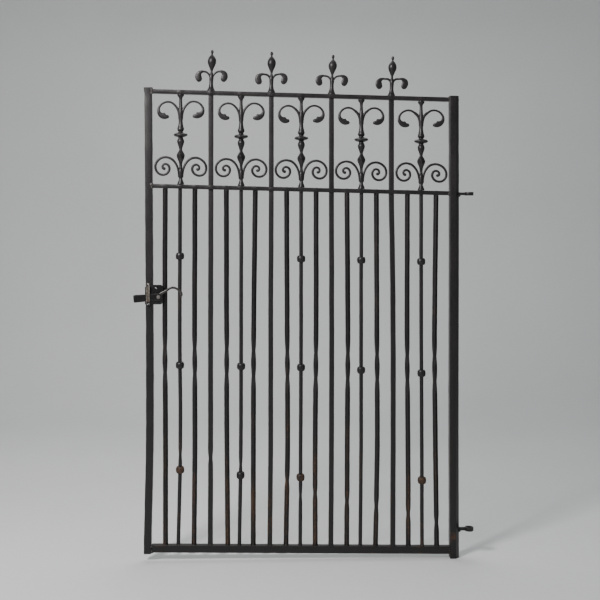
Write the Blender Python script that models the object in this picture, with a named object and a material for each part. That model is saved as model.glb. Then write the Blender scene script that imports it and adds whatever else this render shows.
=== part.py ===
"""A wrought iron side gate: two stiles, three rails, nineteen bars, scrollwork, finials and a lift latch.

The gate is drawn standing square on the level of its feet, with X across it from the latch to
the hinges, Y from front to back and Z up. Each piece is then let down by the slope that the
old frame has settled to, and the whole gate is carried to its origin, the hinge axis at the
underside of the lower hinge eye.
"""

import math

import bmesh
import bpy
import numpy as np
from mathutils import Matrix, Vector

# frame, in metres
bar_pitch = 0.0508          # from one bar to the next
bar_count = 19
edge_trim = 0.0058          # that an outer bar is nearer to its stile than to the next bar
stile_height = 1.565
latch_stile_size = 0.0222   # square section of the stile that carries the latch
hinge_stile_size = 0.03175  # square section of the stile that carries the hinges
heel_chamfer = 0.011        # broad flat that takes off the hinge stile's outer front corner
settled_slope = math.radians(1.4)   # the rails fall this much from the latch to the hinges

rail_depth = 0.0254
rail_height = 0.0142        # top and middle rails
bottom_rail_height = 0.0254
bottom_rail_depth = 0.0205
stile_head = 0.0125         # of the stiles over the top rail's centre
rail_spread = 0.3178        # from the top rail's centre to the middle rail's
bottom_rail_z = 0.0217      # height of the bottom rail's centre over the feet
rail_tenon_depth = 0.011
rail_tenon_height = 0.007
bottom_tenon_height = 0.014

# bars
through_bar_size = 0.0159   # square, flat to the front
bar_size = 0.0127           # twisted bars across their flats, and ball bars' diameter
bar_tenon = 0.0076          # across the tenon that a bar has through the middle rail
through_every = 4           # every fourth bar, from the fourth on, runs up to a finial
twist_length = 0.197        # of a twisted bar's half turn
twist_rise = 0.0127         # of the twist's middle over the middle of the bar
twist_steps = 10
knob_spacing = 0.367        # from a ball bar's middle knob to its upper and lower knobs
knob_rise = 0.003           # of the middle knob over the middle of the bar
knobs_lost = ((2, "upper"), (4, "lower"))   # two knobs have gone from their bars
knob_strays = {             # that a knob has slid up its bar from its row
    (1, "lower"): 0.0150, (3, "lower"): -0.0040, (4, "middle"): -0.0050,
    (5, "middle"): -0.0118, (5, "lower"): -0.0078,
}
knob_shape = ((0.0089, -0.0115), (0.0125, -0.0062), (0.0139, 0.0), (0.0125, 0.0062),
              (0.0089, 0.0115))             # radius and height from the knob's middle

# hinge eyes
eye_radius = 0.015
eye_hole_radius = 0.0083
eye_height = 0.012
eye_reach = 0.036           # from the hinge stile to the hinge axis
shank_width = 0.014
shank_height = 0.0105
shank_end = 0.009           # from the hinge axis to where the shank runs out in the ring
shank_weld = 0.007          # leg of the fillet under the shank
lower_eye_z = 0.0913        # the upper eye is level with the middle rail

# latch, measured from its pivot where it isn't a height or a thickness
pivot_z = 0.8625
pivot_inset = 0.0235        # from the stile's inner face
pivot_radius = 0.004
pivot_head_radius = 0.0068
pivot_head_height = 0.0045
nut_across_flats = 0.013
nut_height = 0.006
bolt_tail = 0.002           # bolt that shows past the nut
plate_thickness = 0.004
plate_right = 0.0155
plate_top = 0.0405
plate_bottom = -0.0250
plate_corner = 0.0075       # chamfer of the plate's two free corners
lever_thickness = 0.006
lever_height = 0.024
tongue_height = 0.026
tongue_reach = 0.0835
tongue_corner = 0.004
tongue_waist = 0.55         # share of its reach at which the tongue starts to widen
lever_end_steps = 8         # of the round end about the pivot
lever_droop = math.radians(4)   # the tongue hangs this far below level on its rest
keeper_width = 0.0118
keeper_thickness = 0.003
keeper_headroom = 0.0255    # that the tongue has to rise in the keeper
keeper_foot = 0.0125
keeper_clearance = 0.0008   # between the lever and the keeper's front
screw_radius = 0.0022
screw_head_radius = 0.0042
screw_head_height = 0.0018
screw_length = 0.008
screw_head_shape = ((0.60, 1.0), (1.0, 0.35), (1.0, 0.0))   # shares of a head's radius and height
bolt_head_shape = ((0.55, 1.0), (0.90, 0.6), (1.0, 0.2), (1.0, 0.0))
handle_shape = (            # across, up, half the thickness, from the blade to the tip
    (0.0030, 0.0050, 0.0052),
    (0.0110, 0.0135, 0.0048),
    (0.0240, 0.0200, 0.0042),
    (0.0360, 0.0278, 0.0038),
    (0.0490, 0.0316, 0.0038),
    (0.0595, 0.0290, 0.0038),
    (0.0695, 0.0225, 0.0040),
    (0.0757, 0.0140, 0.0046),
    (0.0758, 0.0052, 0.0050),
)
handle_steps = 3            # from each point of the handle to the next

gap = 0.0003                # between two pieces that touch
beyond = 0.02               # that a cutter runs past what it cuts
round_sides = 8             # with corners to the front, back and sides
bored_sides = 20            # of a hole that turns on a pin
smooth_angle = math.radians(45)

# The turned shapes are pairs of radius and height. A baluster's heights are measured down
# from the underside of the top rail, a finial's up from the top of it.
baluster_shape = (
    (0.0108, 0.0003), (0.0108, 0.0035), (0.0080, 0.0090), (0.0048, 0.0145),
    (0.0048, 0.0280), (0.0074, 0.0600), (0.0064, 0.0820), (0.0068, 0.0980),
    (0.0113, 0.1160), (0.0108, 0.1215), (0.0064, 0.1290), (0.0090, 0.1315),
    (0.0233, 0.1358), (0.0233, 0.1380), (0.0090, 0.1422), (0.0066, 0.1450),
    (0.0118, 0.1575), (0.0108, 0.1660), (0.0047, 0.1840), (0.0118, 0.2035),
    (0.0110, 0.2120), (0.0044, 0.2345), (0.0050, 0.2430),
)
stem_radius = 0.0050        # of the baluster inside the scroll collar
base_radius = 0.0113
base_height = 0.0090
base_flare = 0.0190         # from the rail to where the base's flare leaves the stem
peg_radius = 0.0036         # of the baluster's peg through the top rail
peg_depth = 0.0065          # of a ball bar's tenon in the baluster's foot
finial_shape = (
    (0.0123, 0.0003), (0.0123, 0.0025), (0.0096, 0.0070), (0.0070, 0.0145),
    (0.0063, 0.0230), (0.0063, 0.0380), (0.0068, 0.0480), (0.0050, 0.0560),
    (0.0037, 0.0640), (0.0062, 0.0740), (0.0112, 0.0870), (0.0136, 0.0980),
    (0.0125, 0.1070), (0.0082, 0.1150), (0.0030, 0.1215), (0.0028, 0.1240),
    (0.0045, 0.1300), (0.0034, 0.1350), (0.0009, 0.1385),
)
upper_scroll_inset = 0.0462     # from a through bar's face to the crown of the scroll beside it
lower_scroll_inset = 0.0377
collar_top = 0.2530         # of the lower scrolls' collar, down from the top rail
collar_bottom = 0.2790
collar_radius = 0.0080

# places worked out from the sizes above
half_span = bar_pitch * (bar_count - 1) / 2
inner_face = half_span + bar_pitch - edge_trim
latch_stile_x = -inner_face - latch_stile_size / 2
hinge_stile_x = inner_face + hinge_stile_size / 2
hinge_face = inner_face + hinge_stile_size
axis_x = hinge_face + eye_reach
half_rail = rail_height / 2
top_rail_z = stile_height - stile_head
middle_rail_z = top_rail_z - rail_spread
middle_rail_top = middle_rail_z + half_rail
top_rail_underside = top_rail_z - half_rail
bottom_rail_top = bottom_rail_z + bottom_rail_height / 2
panel_height = top_rail_underside - middle_rail_top
bar_foot = bottom_rail_top + gap
bar_shoulder = middle_rail_z - half_rail - gap
bar_middle = (bar_foot + bar_shoulder) / 2
panel_reach = bar_pitch * through_every / 2 - through_bar_size / 2
pivot_x = -inner_face + pivot_inset
stile_front = -latch_stile_size / 2
plate_back = stile_front - gap
plate_front = plate_back - plate_thickness
lever_back = plate_front - gap
lever_front = lever_back - lever_thickness
lever_middle = (lever_back + lever_front) / 2
keeper_x = latch_stile_x - pivot_x

# A scroll's arch leaves the stem at its foot and rises to its crown, and from there it turns
# in, its radius falling from the crown's to the eye's. Each width is a way along the scroll,
# 0 at the foot, 1 at the crown and 2 at the eye, and half of the rod's width there.
upper_scroll = dict(
    foot=(0.0040, -0.0620), crown=(panel_reach - upper_scroll_inset, -0.0280),
    crown_radius=0.0275, eye_radius=0.0170, turn=math.radians(202), tightening=2.2,
    arch_steps=4, turn_steps=8, half_depth=0.0055,
    widths=((0, 0.0022), (1, 0.0030), (1.42, 0.0030), (1.87, 0.0084), (1.95, 0.0084),
            (2, 0.0052)))
lower_scroll = dict(
    foot=(0.0068, -0.2700), crown=(panel_reach - lower_scroll_inset, -0.2148),
    crown_radius=0.0310, eye_radius=0.0070, turn=math.radians(385), tightening=2.0,
    arch_steps=4, turn_steps=13, half_depth=0.0050,
    widths=((0, 0.0012), (0.63, 0.0038), (1, 0.0038), (1.97, 0.0030), (2, 0.0046)))
leaf_scroll = dict(
    foot=(0.0030, 0.0480), crown=(0.0300, 0.0665), crown_radius=0.0150, eye_radius=0.0175,
    turn=math.radians(140), tightening=1.5, arch_steps=3, turn_steps=7, half_depth=0.0045,
    widths=((0, 0.0018), (1, 0.0028), (1.10, 0.0042), (1.25, 0.0072), (1.40, 0.0095),
            (1.56, 0.0105), (1.70, 0.0097), (1.85, 0.0075), (2, 0.0046)))


def settled(x):
    """How far a point at x has come down, or up, with the frame."""
    return -x * math.tan(settled_slope)


def settle(mesh):
    """Leans a piece's cross lines to the rails' slope, about the piece's own origin."""
    shear = Matrix.Identity(4)
    shear[2][0] = -math.tan(settled_slope)
    mesh.transform(shear)


# materials

def finish_of(name, colour, roughness, metallic):
    material = bpy.data.materials.new(name)
    material.use_nodes = True
    shader = material.node_tree.nodes["Principled BSDF"]
    shader.inputs["Base Color"].default_value = (*colour, 1.0)
    shader.inputs["Roughness"].default_value = roughness
    shader.inputs["Metallic"].default_value = metallic
    return material


def make_finishes():
    return {
        "black_paint": finish_of("black_paint", (0.030, 0.028, 0.030), 0.50, 0.25),
        "rusty_paint": finish_of("rusty_paint", (0.050, 0.030, 0.022), 0.68, 0.20),
        "latch_black": finish_of("latch_black", (0.014, 0.014, 0.015), 0.32, 0.30),
        "worn_steel": finish_of("worn_steel", (0.300, 0.280, 0.260), 0.35, 0.90),
        "rusty_strap": finish_of("rusty_strap", (0.120, 0.090, 0.065), 0.60, 0.55),
    }


# shapes

def closed_mesh(name, bm):
    """The finished mesh of a bmesh: doubles merged, faces outwards, round walls smooth."""
    bmesh.ops.remove_doubles(bm, verts=bm.verts, dist=0.00001)
    bmesh.ops.recalc_face_normals(bm, faces=bm.faces)
    mesh = bpy.data.meshes.new(name)
    bm.to_mesh(mesh)
    bm.free()
    mesh.shade_smooth()
    mesh.set_sharp_from_angle(angle=smooth_angle)
    return mesh


def add_loft(bm, rings):
    """A solid through rings of equally many points, closed with a flat face at each end."""
    loops = [[bm.verts.new(point) for point in ring] for ring in rings]
    for low, high in zip(loops, loops[1:]):
        for i in range(len(low)):
            j = (i + 1) % len(low)
            bm.faces.new((low[i], low[j], high[j], high[i]))
    bm.faces.new(loops[0])
    bm.faces.new(loops[-1])


def round_ring(radius, z, sides=round_sides):
    turns = (2 * math.pi * i / sides for i in range(sides))
    return [(radius * math.cos(a), radius * math.sin(a), z) for a in turns]


def square_ring(size, z, turn=0.0):
    corners = (turn + math.pi / 4 + math.pi / 2 * i for i in range(4))
    reach = size / math.sqrt(2)
    return [(reach * math.cos(a), reach * math.sin(a), z) for a in corners]


def add_box(bm, low, high):
    (x0, y0, z0), (x1, y1, z1) = low, high
    add_loft(bm, [[(x0, y0, z), (x1, y0, z), (x1, y1, z), (x0, y1, z)] for z in (z0, z1)])


def add_slab(bm, outline, front, back):
    """An outline across and up, as thick as from front to back."""
    add_loft(bm, [[(x, y, z) for x, z in outline] for y in (front, back)])


def add_turned(bm, shape, sides=round_sides, bore=None):
    """A turned solid from pairs of radius and height, with a round bore right through."""
    if bore is None:
        add_loft(bm, [round_ring(radius, z, sides) for radius, z in shape])
        return
    walls = list(shape) + [(bore, shape[-1][1]), (bore, shape[0][1])]
    loops = [[bm.verts.new(point) for point in round_ring(*wall, sides)] for wall in walls]
    for here, there in zip(loops, loops[1:] + loops[:1]):
        for i in range(sides):
            j = (i + 1) % sides
            bm.faces.new((here[i], here[j], there[j], there[i]))


def add_sweep(bm, path, sides=6, y=0.0):
    """A rod along a path in the plane of the gate. Each point has half a width and a depth."""
    rings = []
    for i, (x, z, half_width, half_depth) in enumerate(path):
        before, after = path[max(i - 1, 0)], path[min(i + 1, len(path) - 1)]
        along = Vector((after[0] - before[0], after[1] - before[1])).normalized()
        ring = []
        for k in range(sides):
            turn = 2 * math.pi * k / sides
            across = half_width * math.cos(turn)
            ring.append((x - along.y * across, y + half_depth * math.sin(turn),
                         z + along.x * across))
        rings.append(ring)
    add_loft(bm, rings)


def mirrored(path):
    return [(-x, z, half_width, half_depth) for x, z, half_width, half_depth in path]


def mix(start, end, share):
    return start + (end - start) * share


def scroll_path(foot, crown, crown_radius, eye_radius, turn, tightening, arch_steps, turn_steps,
                half_depth, widths):
    """A scroll's path for add_sweep, from its foot through its crown to its eye."""
    line = []
    for i in range(arch_steps):
        way = i / arch_steps
        angle = way * math.pi / 2
        line.append((crown[0] - (crown[0] - foot[0]) * math.cos(angle),
                     foot[1] + (crown[1] - foot[1]) * math.sin(angle), way))
    for i in range(turn_steps + 1):
        share = i / turn_steps
        angle = math.pi / 2 - turn * share
        radius = mix(crown_radius, eye_radius, share ** tightening)
        line.append((crown[0] + radius * math.cos(angle),
                     crown[1] - crown_radius + radius * math.sin(angle), 1 + share))
    path = []
    for x, z, way in line:
        half_width = float(np.interp(way, *zip(*widths)))
        path.append((x, z, half_width, min(half_width, half_depth)))
    return path


def curve_through(points, steps):
    """A smooth line through points of any size, with steps from each to the next."""
    line = []
    for i in range(len(points) - 1):
        a = points[max(i - 1, 0)]
        b, c = points[i], points[i + 1]
        d = points[min(i + 2, len(points) - 1)]
        for step in range(steps):
            t = step / steps
            line.append(tuple(
                0.5 * (2 * b[k] + (c[k] - a[k]) * t + (2 * a[k] - 5 * b[k] + 4 * c[k] - d[k]) * t ** 2
                       + (3 * b[k] - a[k] - 3 * c[k] + d[k]) * t ** 3)
                for k in range(len(b))))
    return line + [tuple(points[-1])]


# objects

class Gate:
    """Puts each piece in the scene, under one empty that carries the gate to its origin."""

    def __init__(self, finishes):
        self.finishes = finishes
        self.origin = bpy.data.objects.new("gate", None)
        self.origin.location = (-axis_x, 0, -(lower_eye_z + settled(axis_x)))
        bpy.context.scene.collection.objects.link(self.origin)

    def place(self, name, mesh, finish, x=0.0, y=0.0, z=0.0, sinks_at=None):
        """sinks_at is where the piece's height follows the settled frame, x if left out."""
        piece = bpy.data.objects.new(name, mesh)
        drop = settled(x if sinks_at is None else sinks_at)
        piece.location = (x, y, z + drop)
        piece.parent = self.origin
        if not mesh.materials:
            mesh.materials.append(self.finishes[finish])
        bpy.context.scene.collection.objects.link(piece)
        return piece

    def helper(self, name, mesh, x=0.0, y=0.0, z=0.0, sinks_at=None):
        """A cutter or a guide, which isn't a piece of the gate."""
        tool = self.place(name, mesh, "black_paint", x, y, z, sinks_at)
        tool.hide_render = True
        tool.display_type = "WIRE"
        return tool

    def boolean(self, piece, tool, operation):
        change = piece.modifiers.new(tool.name, "BOOLEAN")
        change.operation = operation
        change.solver = "EXACT"
        change.object = tool

    def joined(self, name, core, arms, bore=None):
        """One mesh of a core and the meshes that run into it, with a bore cut through it all."""
        whole = self.helper(f"{name}_core", core)
        tools = [self.helper(f"{name}_arm", arm) for arm in arms]
        for tool in tools:
            self.boolean(whole, tool, "UNION")
        if bore is not None:
            tools.append(self.helper(f"{name}_bore", bore))
            self.boolean(whole, tools[-1], "DIFFERENCE")
        bpy.context.view_layer.update()
        graph = bpy.context.evaluated_depsgraph_get()
        mesh = bpy.data.meshes.new_from_object(whole.evaluated_get(graph))
        mesh.name = name
        for tool in [whole, *tools]:
            bpy.data.objects.remove(tool)
        mesh.shade_smooth()
        mesh.set_sharp_from_angle(angle=smooth_angle)
        return mesh


def bar_xs(kind):
    """The places of the bars of one kind, numbered from the latch side."""
    for i in range(bar_count):
        x = -half_span + bar_pitch * i
        if (i + 1) % through_every == 0:
            found = "through"
        elif (i + 1) % through_every == 2:
            found = "ball"
        else:
            found = "twisted"
        if found == kind:
            yield x


def rail_sections():
    """Each rail's name, middle height, height, depth and tenon height."""
    return (("top_rail", top_rail_z, rail_height, rail_depth, rail_tenon_height),
            ("middle_rail", middle_rail_z, rail_height, rail_depth, rail_tenon_height),
            ("bottom_rail", bottom_rail_z, bottom_rail_height, bottom_rail_depth,
             bottom_tenon_height))


def make_stiles(gate):
    latch_half, hinge_half = latch_stile_size / 2, hinge_stile_size / 2
    bm = bmesh.new()
    add_box(bm, (-latch_half, -latch_half, 0), (latch_half, latch_half, stile_height))
    latch_stile = gate.place("latch_stile", closed_mesh("latch_stile", bm), "black_paint",
                             latch_stile_x)
    outline = [(-hinge_half, -hinge_half), (hinge_half - heel_chamfer, -hinge_half),
               (hinge_half, -hinge_half + heel_chamfer), (hinge_half, hinge_half),
               (-hinge_half, hinge_half)]
    bm = bmesh.new()
    add_loft(bm, [[(x, y, z) for x, y in outline] for z in (0, stile_height)])
    hinge_stile = gate.place("hinge_stile", closed_mesh("hinge_stile", bm), "black_paint",
                             hinge_stile_x)

    bm = bmesh.new()
    reach = hinge_face + beyond
    for _, z, _, _, tenon_height in rail_sections():
        half_y, half_z = rail_tenon_depth / 2 + gap, tenon_height / 2 + gap
        add_box(bm, (-reach, -half_y, z - half_z), (reach, half_y, z + half_z))
    for screw_z in keeper_screw_heights():
        add_screw_hole(bm, latch_stile_x, pivot_z + screw_z, stile_front - beyond,
                       stile_front + screw_length + gap)
    mortises = closed_mesh("mortises", bm)
    settle(mortises)
    tool = gate.helper("mortises", mortises)
    gate.boolean(latch_stile, tool, "DIFFERENCE")
    gate.boolean(hinge_stile, tool, "DIFFERENCE")


def make_rails(gate):
    rails = {}
    shoulder = inner_face - gap
    for name, z, height, depth, tenon_height in rail_sections():
        body = depth / 2, height / 2
        tenon = rail_tenon_depth / 2, tenon_height / 2
        ends = ((-inner_face - latch_stile_size, tenon), (-shoulder, tenon), (-shoulder, body),
                (shoulder, body), (shoulder, tenon), (hinge_face, tenon))
        bm = bmesh.new()
        add_loft(bm, [[(x, -y, -up), (x, y, -up), (x, y, up), (x, -y, up)]
                      for x, (y, up) in ends])
        mesh = closed_mesh(name, bm)
        settle(mesh)
        rails[name] = gate.place(name, mesh, "black_paint", z=z)

    over, under = top_rail_z + rail_height, middle_rail_z - rail_height
    split = (over + under) / 2
    bm = bmesh.new()
    for x in bar_xs("through"):
        half = through_bar_size / 2 + gap
        add_box(bm, (x - half, -half, under), (x + half, half, over))
    for x in bar_xs("twisted"):
        ring = square_ring(bar_tenon + 2 * gap, 0, math.pi / 4)
        add_loft(bm, [[(x + a, b, z) for a, b, _ in ring] for z in (under, split)])
    for x in bar_xs("ball"):
        for radius, low, high in ((bar_tenon / 2, under, split), (peg_radius, split + gap, over)):
            ring = round_ring(radius + gap, 0)
            add_loft(bm, [[(x + a, b, z) for a, b, _ in ring] for z in (low, high)])
    punched = closed_mesh("punched_holes", bm)
    settle(punched)
    tool = gate.helper("punched_holes", punched)
    gate.boolean(rails["top_rail"], tool, "DIFFERENCE")
    gate.boolean(rails["middle_rail"], tool, "DIFFERENCE")


def make_through_bars(gate):
    bm = bmesh.new()
    add_loft(bm, [square_ring(through_bar_size, z) for z in (bar_foot, top_rail_z + half_rail)])
    mesh = closed_mesh("through_bar", bm)
    settle(mesh)
    for number, x in enumerate(bar_xs("through"), 1):
        gate.place(f"through_bar_{number}", mesh, "black_paint", x)


def make_twisted_bars(gate):
    """Square bars that stand corner to the front, each with half a turn about its own middle."""
    corner_on = math.pi / 4
    rings = [square_ring(bar_size, bar_foot, corner_on)]
    for i in range(twist_steps + 1):
        share = i / twist_steps
        height = bar_middle + twist_rise + twist_length * (share - 0.5)
        rings.append(square_ring(bar_size, height, corner_on + math.pi * share))
    turned = corner_on + math.pi
    rings += [square_ring(bar_size, bar_shoulder, turned),
              square_ring(bar_tenon, bar_shoulder, turned),
              square_ring(bar_tenon, middle_rail_top, turned)]
    bm = bmesh.new()
    add_loft(bm, rings)
    mesh = closed_mesh("twisted_bar", bm)
    settle(mesh)
    for number, x in enumerate(bar_xs("twisted"), 1):
        gate.place(f"twisted_bar_{number}", mesh, "rusty_paint", x)


def make_ball_bars(gate):
    head = middle_rail_top + peg_depth - gap
    bm = bmesh.new()
    add_turned(bm, [(bar_size / 2, bar_foot), (bar_size / 2, bar_shoulder),
                    (bar_tenon / 2, bar_shoulder), (bar_tenon / 2, head)])
    bar_mesh = closed_mesh("ball_bar", bm)
    settle(bar_mesh)
    bm = bmesh.new()
    add_turned(bm, knob_shape, bore=bar_size / 2 + gap)
    knob_mesh = closed_mesh("knob", bm)
    settle(knob_mesh)

    rows = {"upper": knob_spacing, "middle": 0.0, "lower": -knob_spacing}
    for number, x in enumerate(bar_xs("ball"), 1):
        gate.place(f"ball_bar_{number}", bar_mesh, "rusty_paint", x)
        for row, rise in rows.items():
            if (number, row) not in knobs_lost:
                stray = knob_strays.get((number, row), 0.0)
                gate.place(f"knob_{number}_{row}", knob_mesh, "rusty_paint", x,
                           z=bar_middle + knob_rise + rise + stray)


def two_arms(name, scroll):
    """Meshes of a scroll and of its reflection across the stem."""
    arms = []
    for path in (scroll_path(**scroll), mirrored(scroll_path(**scroll))):
        bm = bmesh.new()
        add_sweep(bm, path)
        arms.append(closed_mesh(name, bm))
    return arms


def make_balusters(gate):
    """Balusters with their upper scrolls forged on, and the lower pairs on their collars."""
    socket = bar_tenon / 2 + gap
    foot = -panel_height + gap
    shape = [(peg_radius, rail_height), (peg_radius, -baluster_shape[0][1])]
    shape += [(radius, -down) for radius, down in baluster_shape]
    shape += [(stem_radius, foot + base_flare), (base_radius, foot + base_height),
              (base_radius, foot), (socket, foot), (socket, foot + peg_depth)]
    bm = bmesh.new()
    add_turned(bm, shape)
    baluster = gate.joined("baluster", closed_mesh("baluster", bm),
                           two_arms("upper_scroll", upper_scroll))
    bm = bmesh.new()
    add_turned(bm, [(collar_radius, -collar_bottom), (collar_radius, -collar_top)],
               bore=stem_radius + gap)
    scrolls = gate.joined("lower_scrolls", closed_mesh("scroll_collar", bm),
                          two_arms("lower_scroll", lower_scroll))
    settle(baluster)
    settle(scrolls)
    for number, x in enumerate(bar_xs("ball"), 1):
        gate.place(f"baluster_{number}", baluster, "black_paint", x, z=top_rail_underside)
        gate.place(f"lower_scrolls_{number}", scrolls, "black_paint", x, z=top_rail_underside)


def make_finials(gate):
    bm = bmesh.new()
    add_turned(bm, finial_shape)
    finial = gate.joined("finial", closed_mesh("finial", bm), two_arms("leaf", leaf_scroll))
    settle(finial)
    for number, x in enumerate(bar_xs("through"), 1):
        gate.place(f"finial_{number}", finial, "black_paint", x, z=top_rail_z + half_rail)


def make_hinge_eyes(gate):
    """Both eyes share a mesh that has its origin on the hinge axis, at the underside."""
    middle = eye_height / 2
    under, over = middle - shank_height / 2, middle + shank_height / 2
    face = -eye_reach + gap
    half = shank_width / 2
    bm = bmesh.new()
    add_turned(bm, [(eye_radius, 0), (eye_radius, eye_height)], bored_sides)
    ring = closed_mesh("eye_ring", bm)
    bm = bmesh.new()
    add_box(bm, (face, -half, under), (-shank_end, half, over))
    shank = closed_mesh("eye_shank", bm)
    bm = bmesh.new()
    add_slab(bm, [(face, under + gap), (face, under - shank_weld), (face + shank_weld, under + gap)],
             -half + gap, half - gap)
    weld = closed_mesh("eye_weld", bm)
    bm = bmesh.new()
    add_turned(bm, [(eye_hole_radius, -beyond), (eye_hole_radius, eye_height + beyond)],
               bored_sides)
    eye = gate.joined("hinge_eye", ring, [shank, weld], closed_mesh("pintle_hole", bm))
    gate.place("hinge_eye_lower", eye, "rusty_paint", axis_x, z=lower_eye_z)
    gate.place("hinge_eye_upper", eye, "rusty_paint", axis_x, z=middle_rail_z - middle)


# the latch

def keeper_inside():
    """Lowest and highest points of the space that the tongue moves in, from the pivot."""
    far = -(keeper_x - keeper_width / 2)
    low = -far * math.tan(lever_droop) - lever_height / 2 / math.cos(lever_droop) - gap
    return low, low + lever_height + keeper_headroom


def keeper_screw_heights():
    low, high = keeper_inside()
    inset = (keeper_foot + keeper_thickness) / 2
    return low - inset, high + inset


def add_along_y(bm, rings):
    """A solid from pairs of a ring of points and its depth, with the rings facing the front."""
    add_loft(bm, [[(a, y, b) for a, b, _ in ring] for ring, y in rings])


def head_rings(shape, radius, height, seat, sides=round_sides):
    """The rings of a screw's or a bolt's round head, from its crown to its seat."""
    return [(round_ring(radius * wide, 0, sides), seat - height * high) for wide, high in shape]


def add_screw_hole(bm, x, z, front, back):
    ring = square_ring((screw_radius + gap) * 2, 0)
    add_loft(bm, [[(x + a, y, z + b) for a, b, _ in ring] for y in (front, back)])


def add_pivot_hole(bm, front, back):
    add_along_y(bm, [(round_ring(pivot_radius + gap, 0, bored_sides), y)
                     for y in (front - beyond, back + beyond)])


def make_latch_plate(gate):
    left = -(inner_face + latch_stile_size + pivot_x) + gap
    low, high = keeper_inside()
    beside = keeper_x + keeper_width / 2 + 2 * gap      # room for the keeper's upper foot
    outline = [(left, plate_bottom), (plate_right - plate_corner, plate_bottom),
               (plate_right, plate_bottom + plate_corner),
               (plate_right, plate_top - plate_corner), (plate_right - plate_corner, plate_top),
               (beside, plate_top), (beside, high - gap), (left, high - gap)]
    bm = bmesh.new()
    add_slab(bm, outline, plate_front, plate_back)
    plate = gate.place("latch_plate", closed_mesh("latch_plate", bm), "latch_black",
                       pivot_x, z=pivot_z, sinks_at=latch_stile_x)
    bm = bmesh.new()
    add_pivot_hole(bm, plate_front, plate_back)
    add_screw_hole(bm, keeper_x, keeper_screw_heights()[0], plate_front - beyond,
                   plate_back + beyond)
    tool = gate.helper("plate_holes", closed_mesh("plate_holes", bm), pivot_x, z=pivot_z,
                       sinks_at=latch_stile_x)
    gate.boolean(plate, tool, "DIFFERENCE")


def make_lever(gate):
    """Blade and tongue in one, with the handle forged on, made level and then let droop."""
    half, tip = lever_height / 2, tongue_height / 2
    waist = -tongue_reach * tongue_waist
    outline = [(-tongue_reach + tongue_corner, -tip), (waist, -half)]
    for i in range(lever_end_steps + 1):
        angle = -math.pi / 2 + math.pi * i / lever_end_steps
        outline.append((half * math.cos(angle), half * math.sin(angle)))
    outline += [(waist, half), (-tongue_reach + tongue_corner, tip),
                (-tongue_reach, tip - tongue_corner), (-tongue_reach, -tip + tongue_corner)]
    bm = bmesh.new()
    add_slab(bm, outline, lever_front - lever_middle, lever_back - lever_middle)
    blade = closed_mesh("lever_blade", bm)
    path = [(x, z, half_width, min(half_width, lever_thickness / 2 - gap))
            for x, z, half_width in curve_through(handle_shape, handle_steps)]
    bm = bmesh.new()
    add_sweep(bm, path, sides=8)
    handle = closed_mesh("lever_handle", bm)
    bm = bmesh.new()
    add_pivot_hole(bm, lever_front - lever_middle, lever_back - lever_middle)
    bore = closed_mesh("lever_bore", bm)
    mesh = gate.joined("latch_lever", blade, [handle], bore)
    lever = gate.place("latch_lever", mesh, "latch_black", pivot_x, lever_middle, pivot_z,
                       sinks_at=latch_stile_x)
    lever.rotation_euler = (0, -lever_droop, 0)


def make_pivot(gate):
    """The bolt's shank runs from its head, before the lever, through the nut behind the plate."""
    nut_front = plate_back + gap
    nut_back = nut_front + nut_height
    seat = lever_front - gap
    bm = bmesh.new()
    rings = head_rings(bolt_head_shape, pivot_head_radius, pivot_head_height, seat, bored_sides)
    rings += [(round_ring(pivot_radius, 0, bored_sides), y) for y in (seat, nut_back + bolt_tail)]
    add_along_y(bm, rings)
    gate.place("pivot_bolt", closed_mesh("pivot_bolt", bm), "worn_steel", pivot_x, z=pivot_z,
               sinks_at=latch_stile_x)

    corner = nut_across_flats / 2 / math.cos(math.pi / 6)
    bm = bmesh.new()
    add_along_y(bm, [(round_ring(corner, 0, 6), y) for y in (nut_front, nut_back)])
    nut = gate.place("pivot_nut", closed_mesh("pivot_nut", bm), "rusty_strap", pivot_x,
                     z=pivot_z, sinks_at=latch_stile_x)
    bm = bmesh.new()
    add_pivot_hole(bm, nut_front, nut_back)
    tool = gate.helper("nut_bore", closed_mesh("nut_bore", bm), pivot_x, z=pivot_z,
                       sinks_at=latch_stile_x)
    gate.boolean(nut, tool, "DIFFERENCE")


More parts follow.
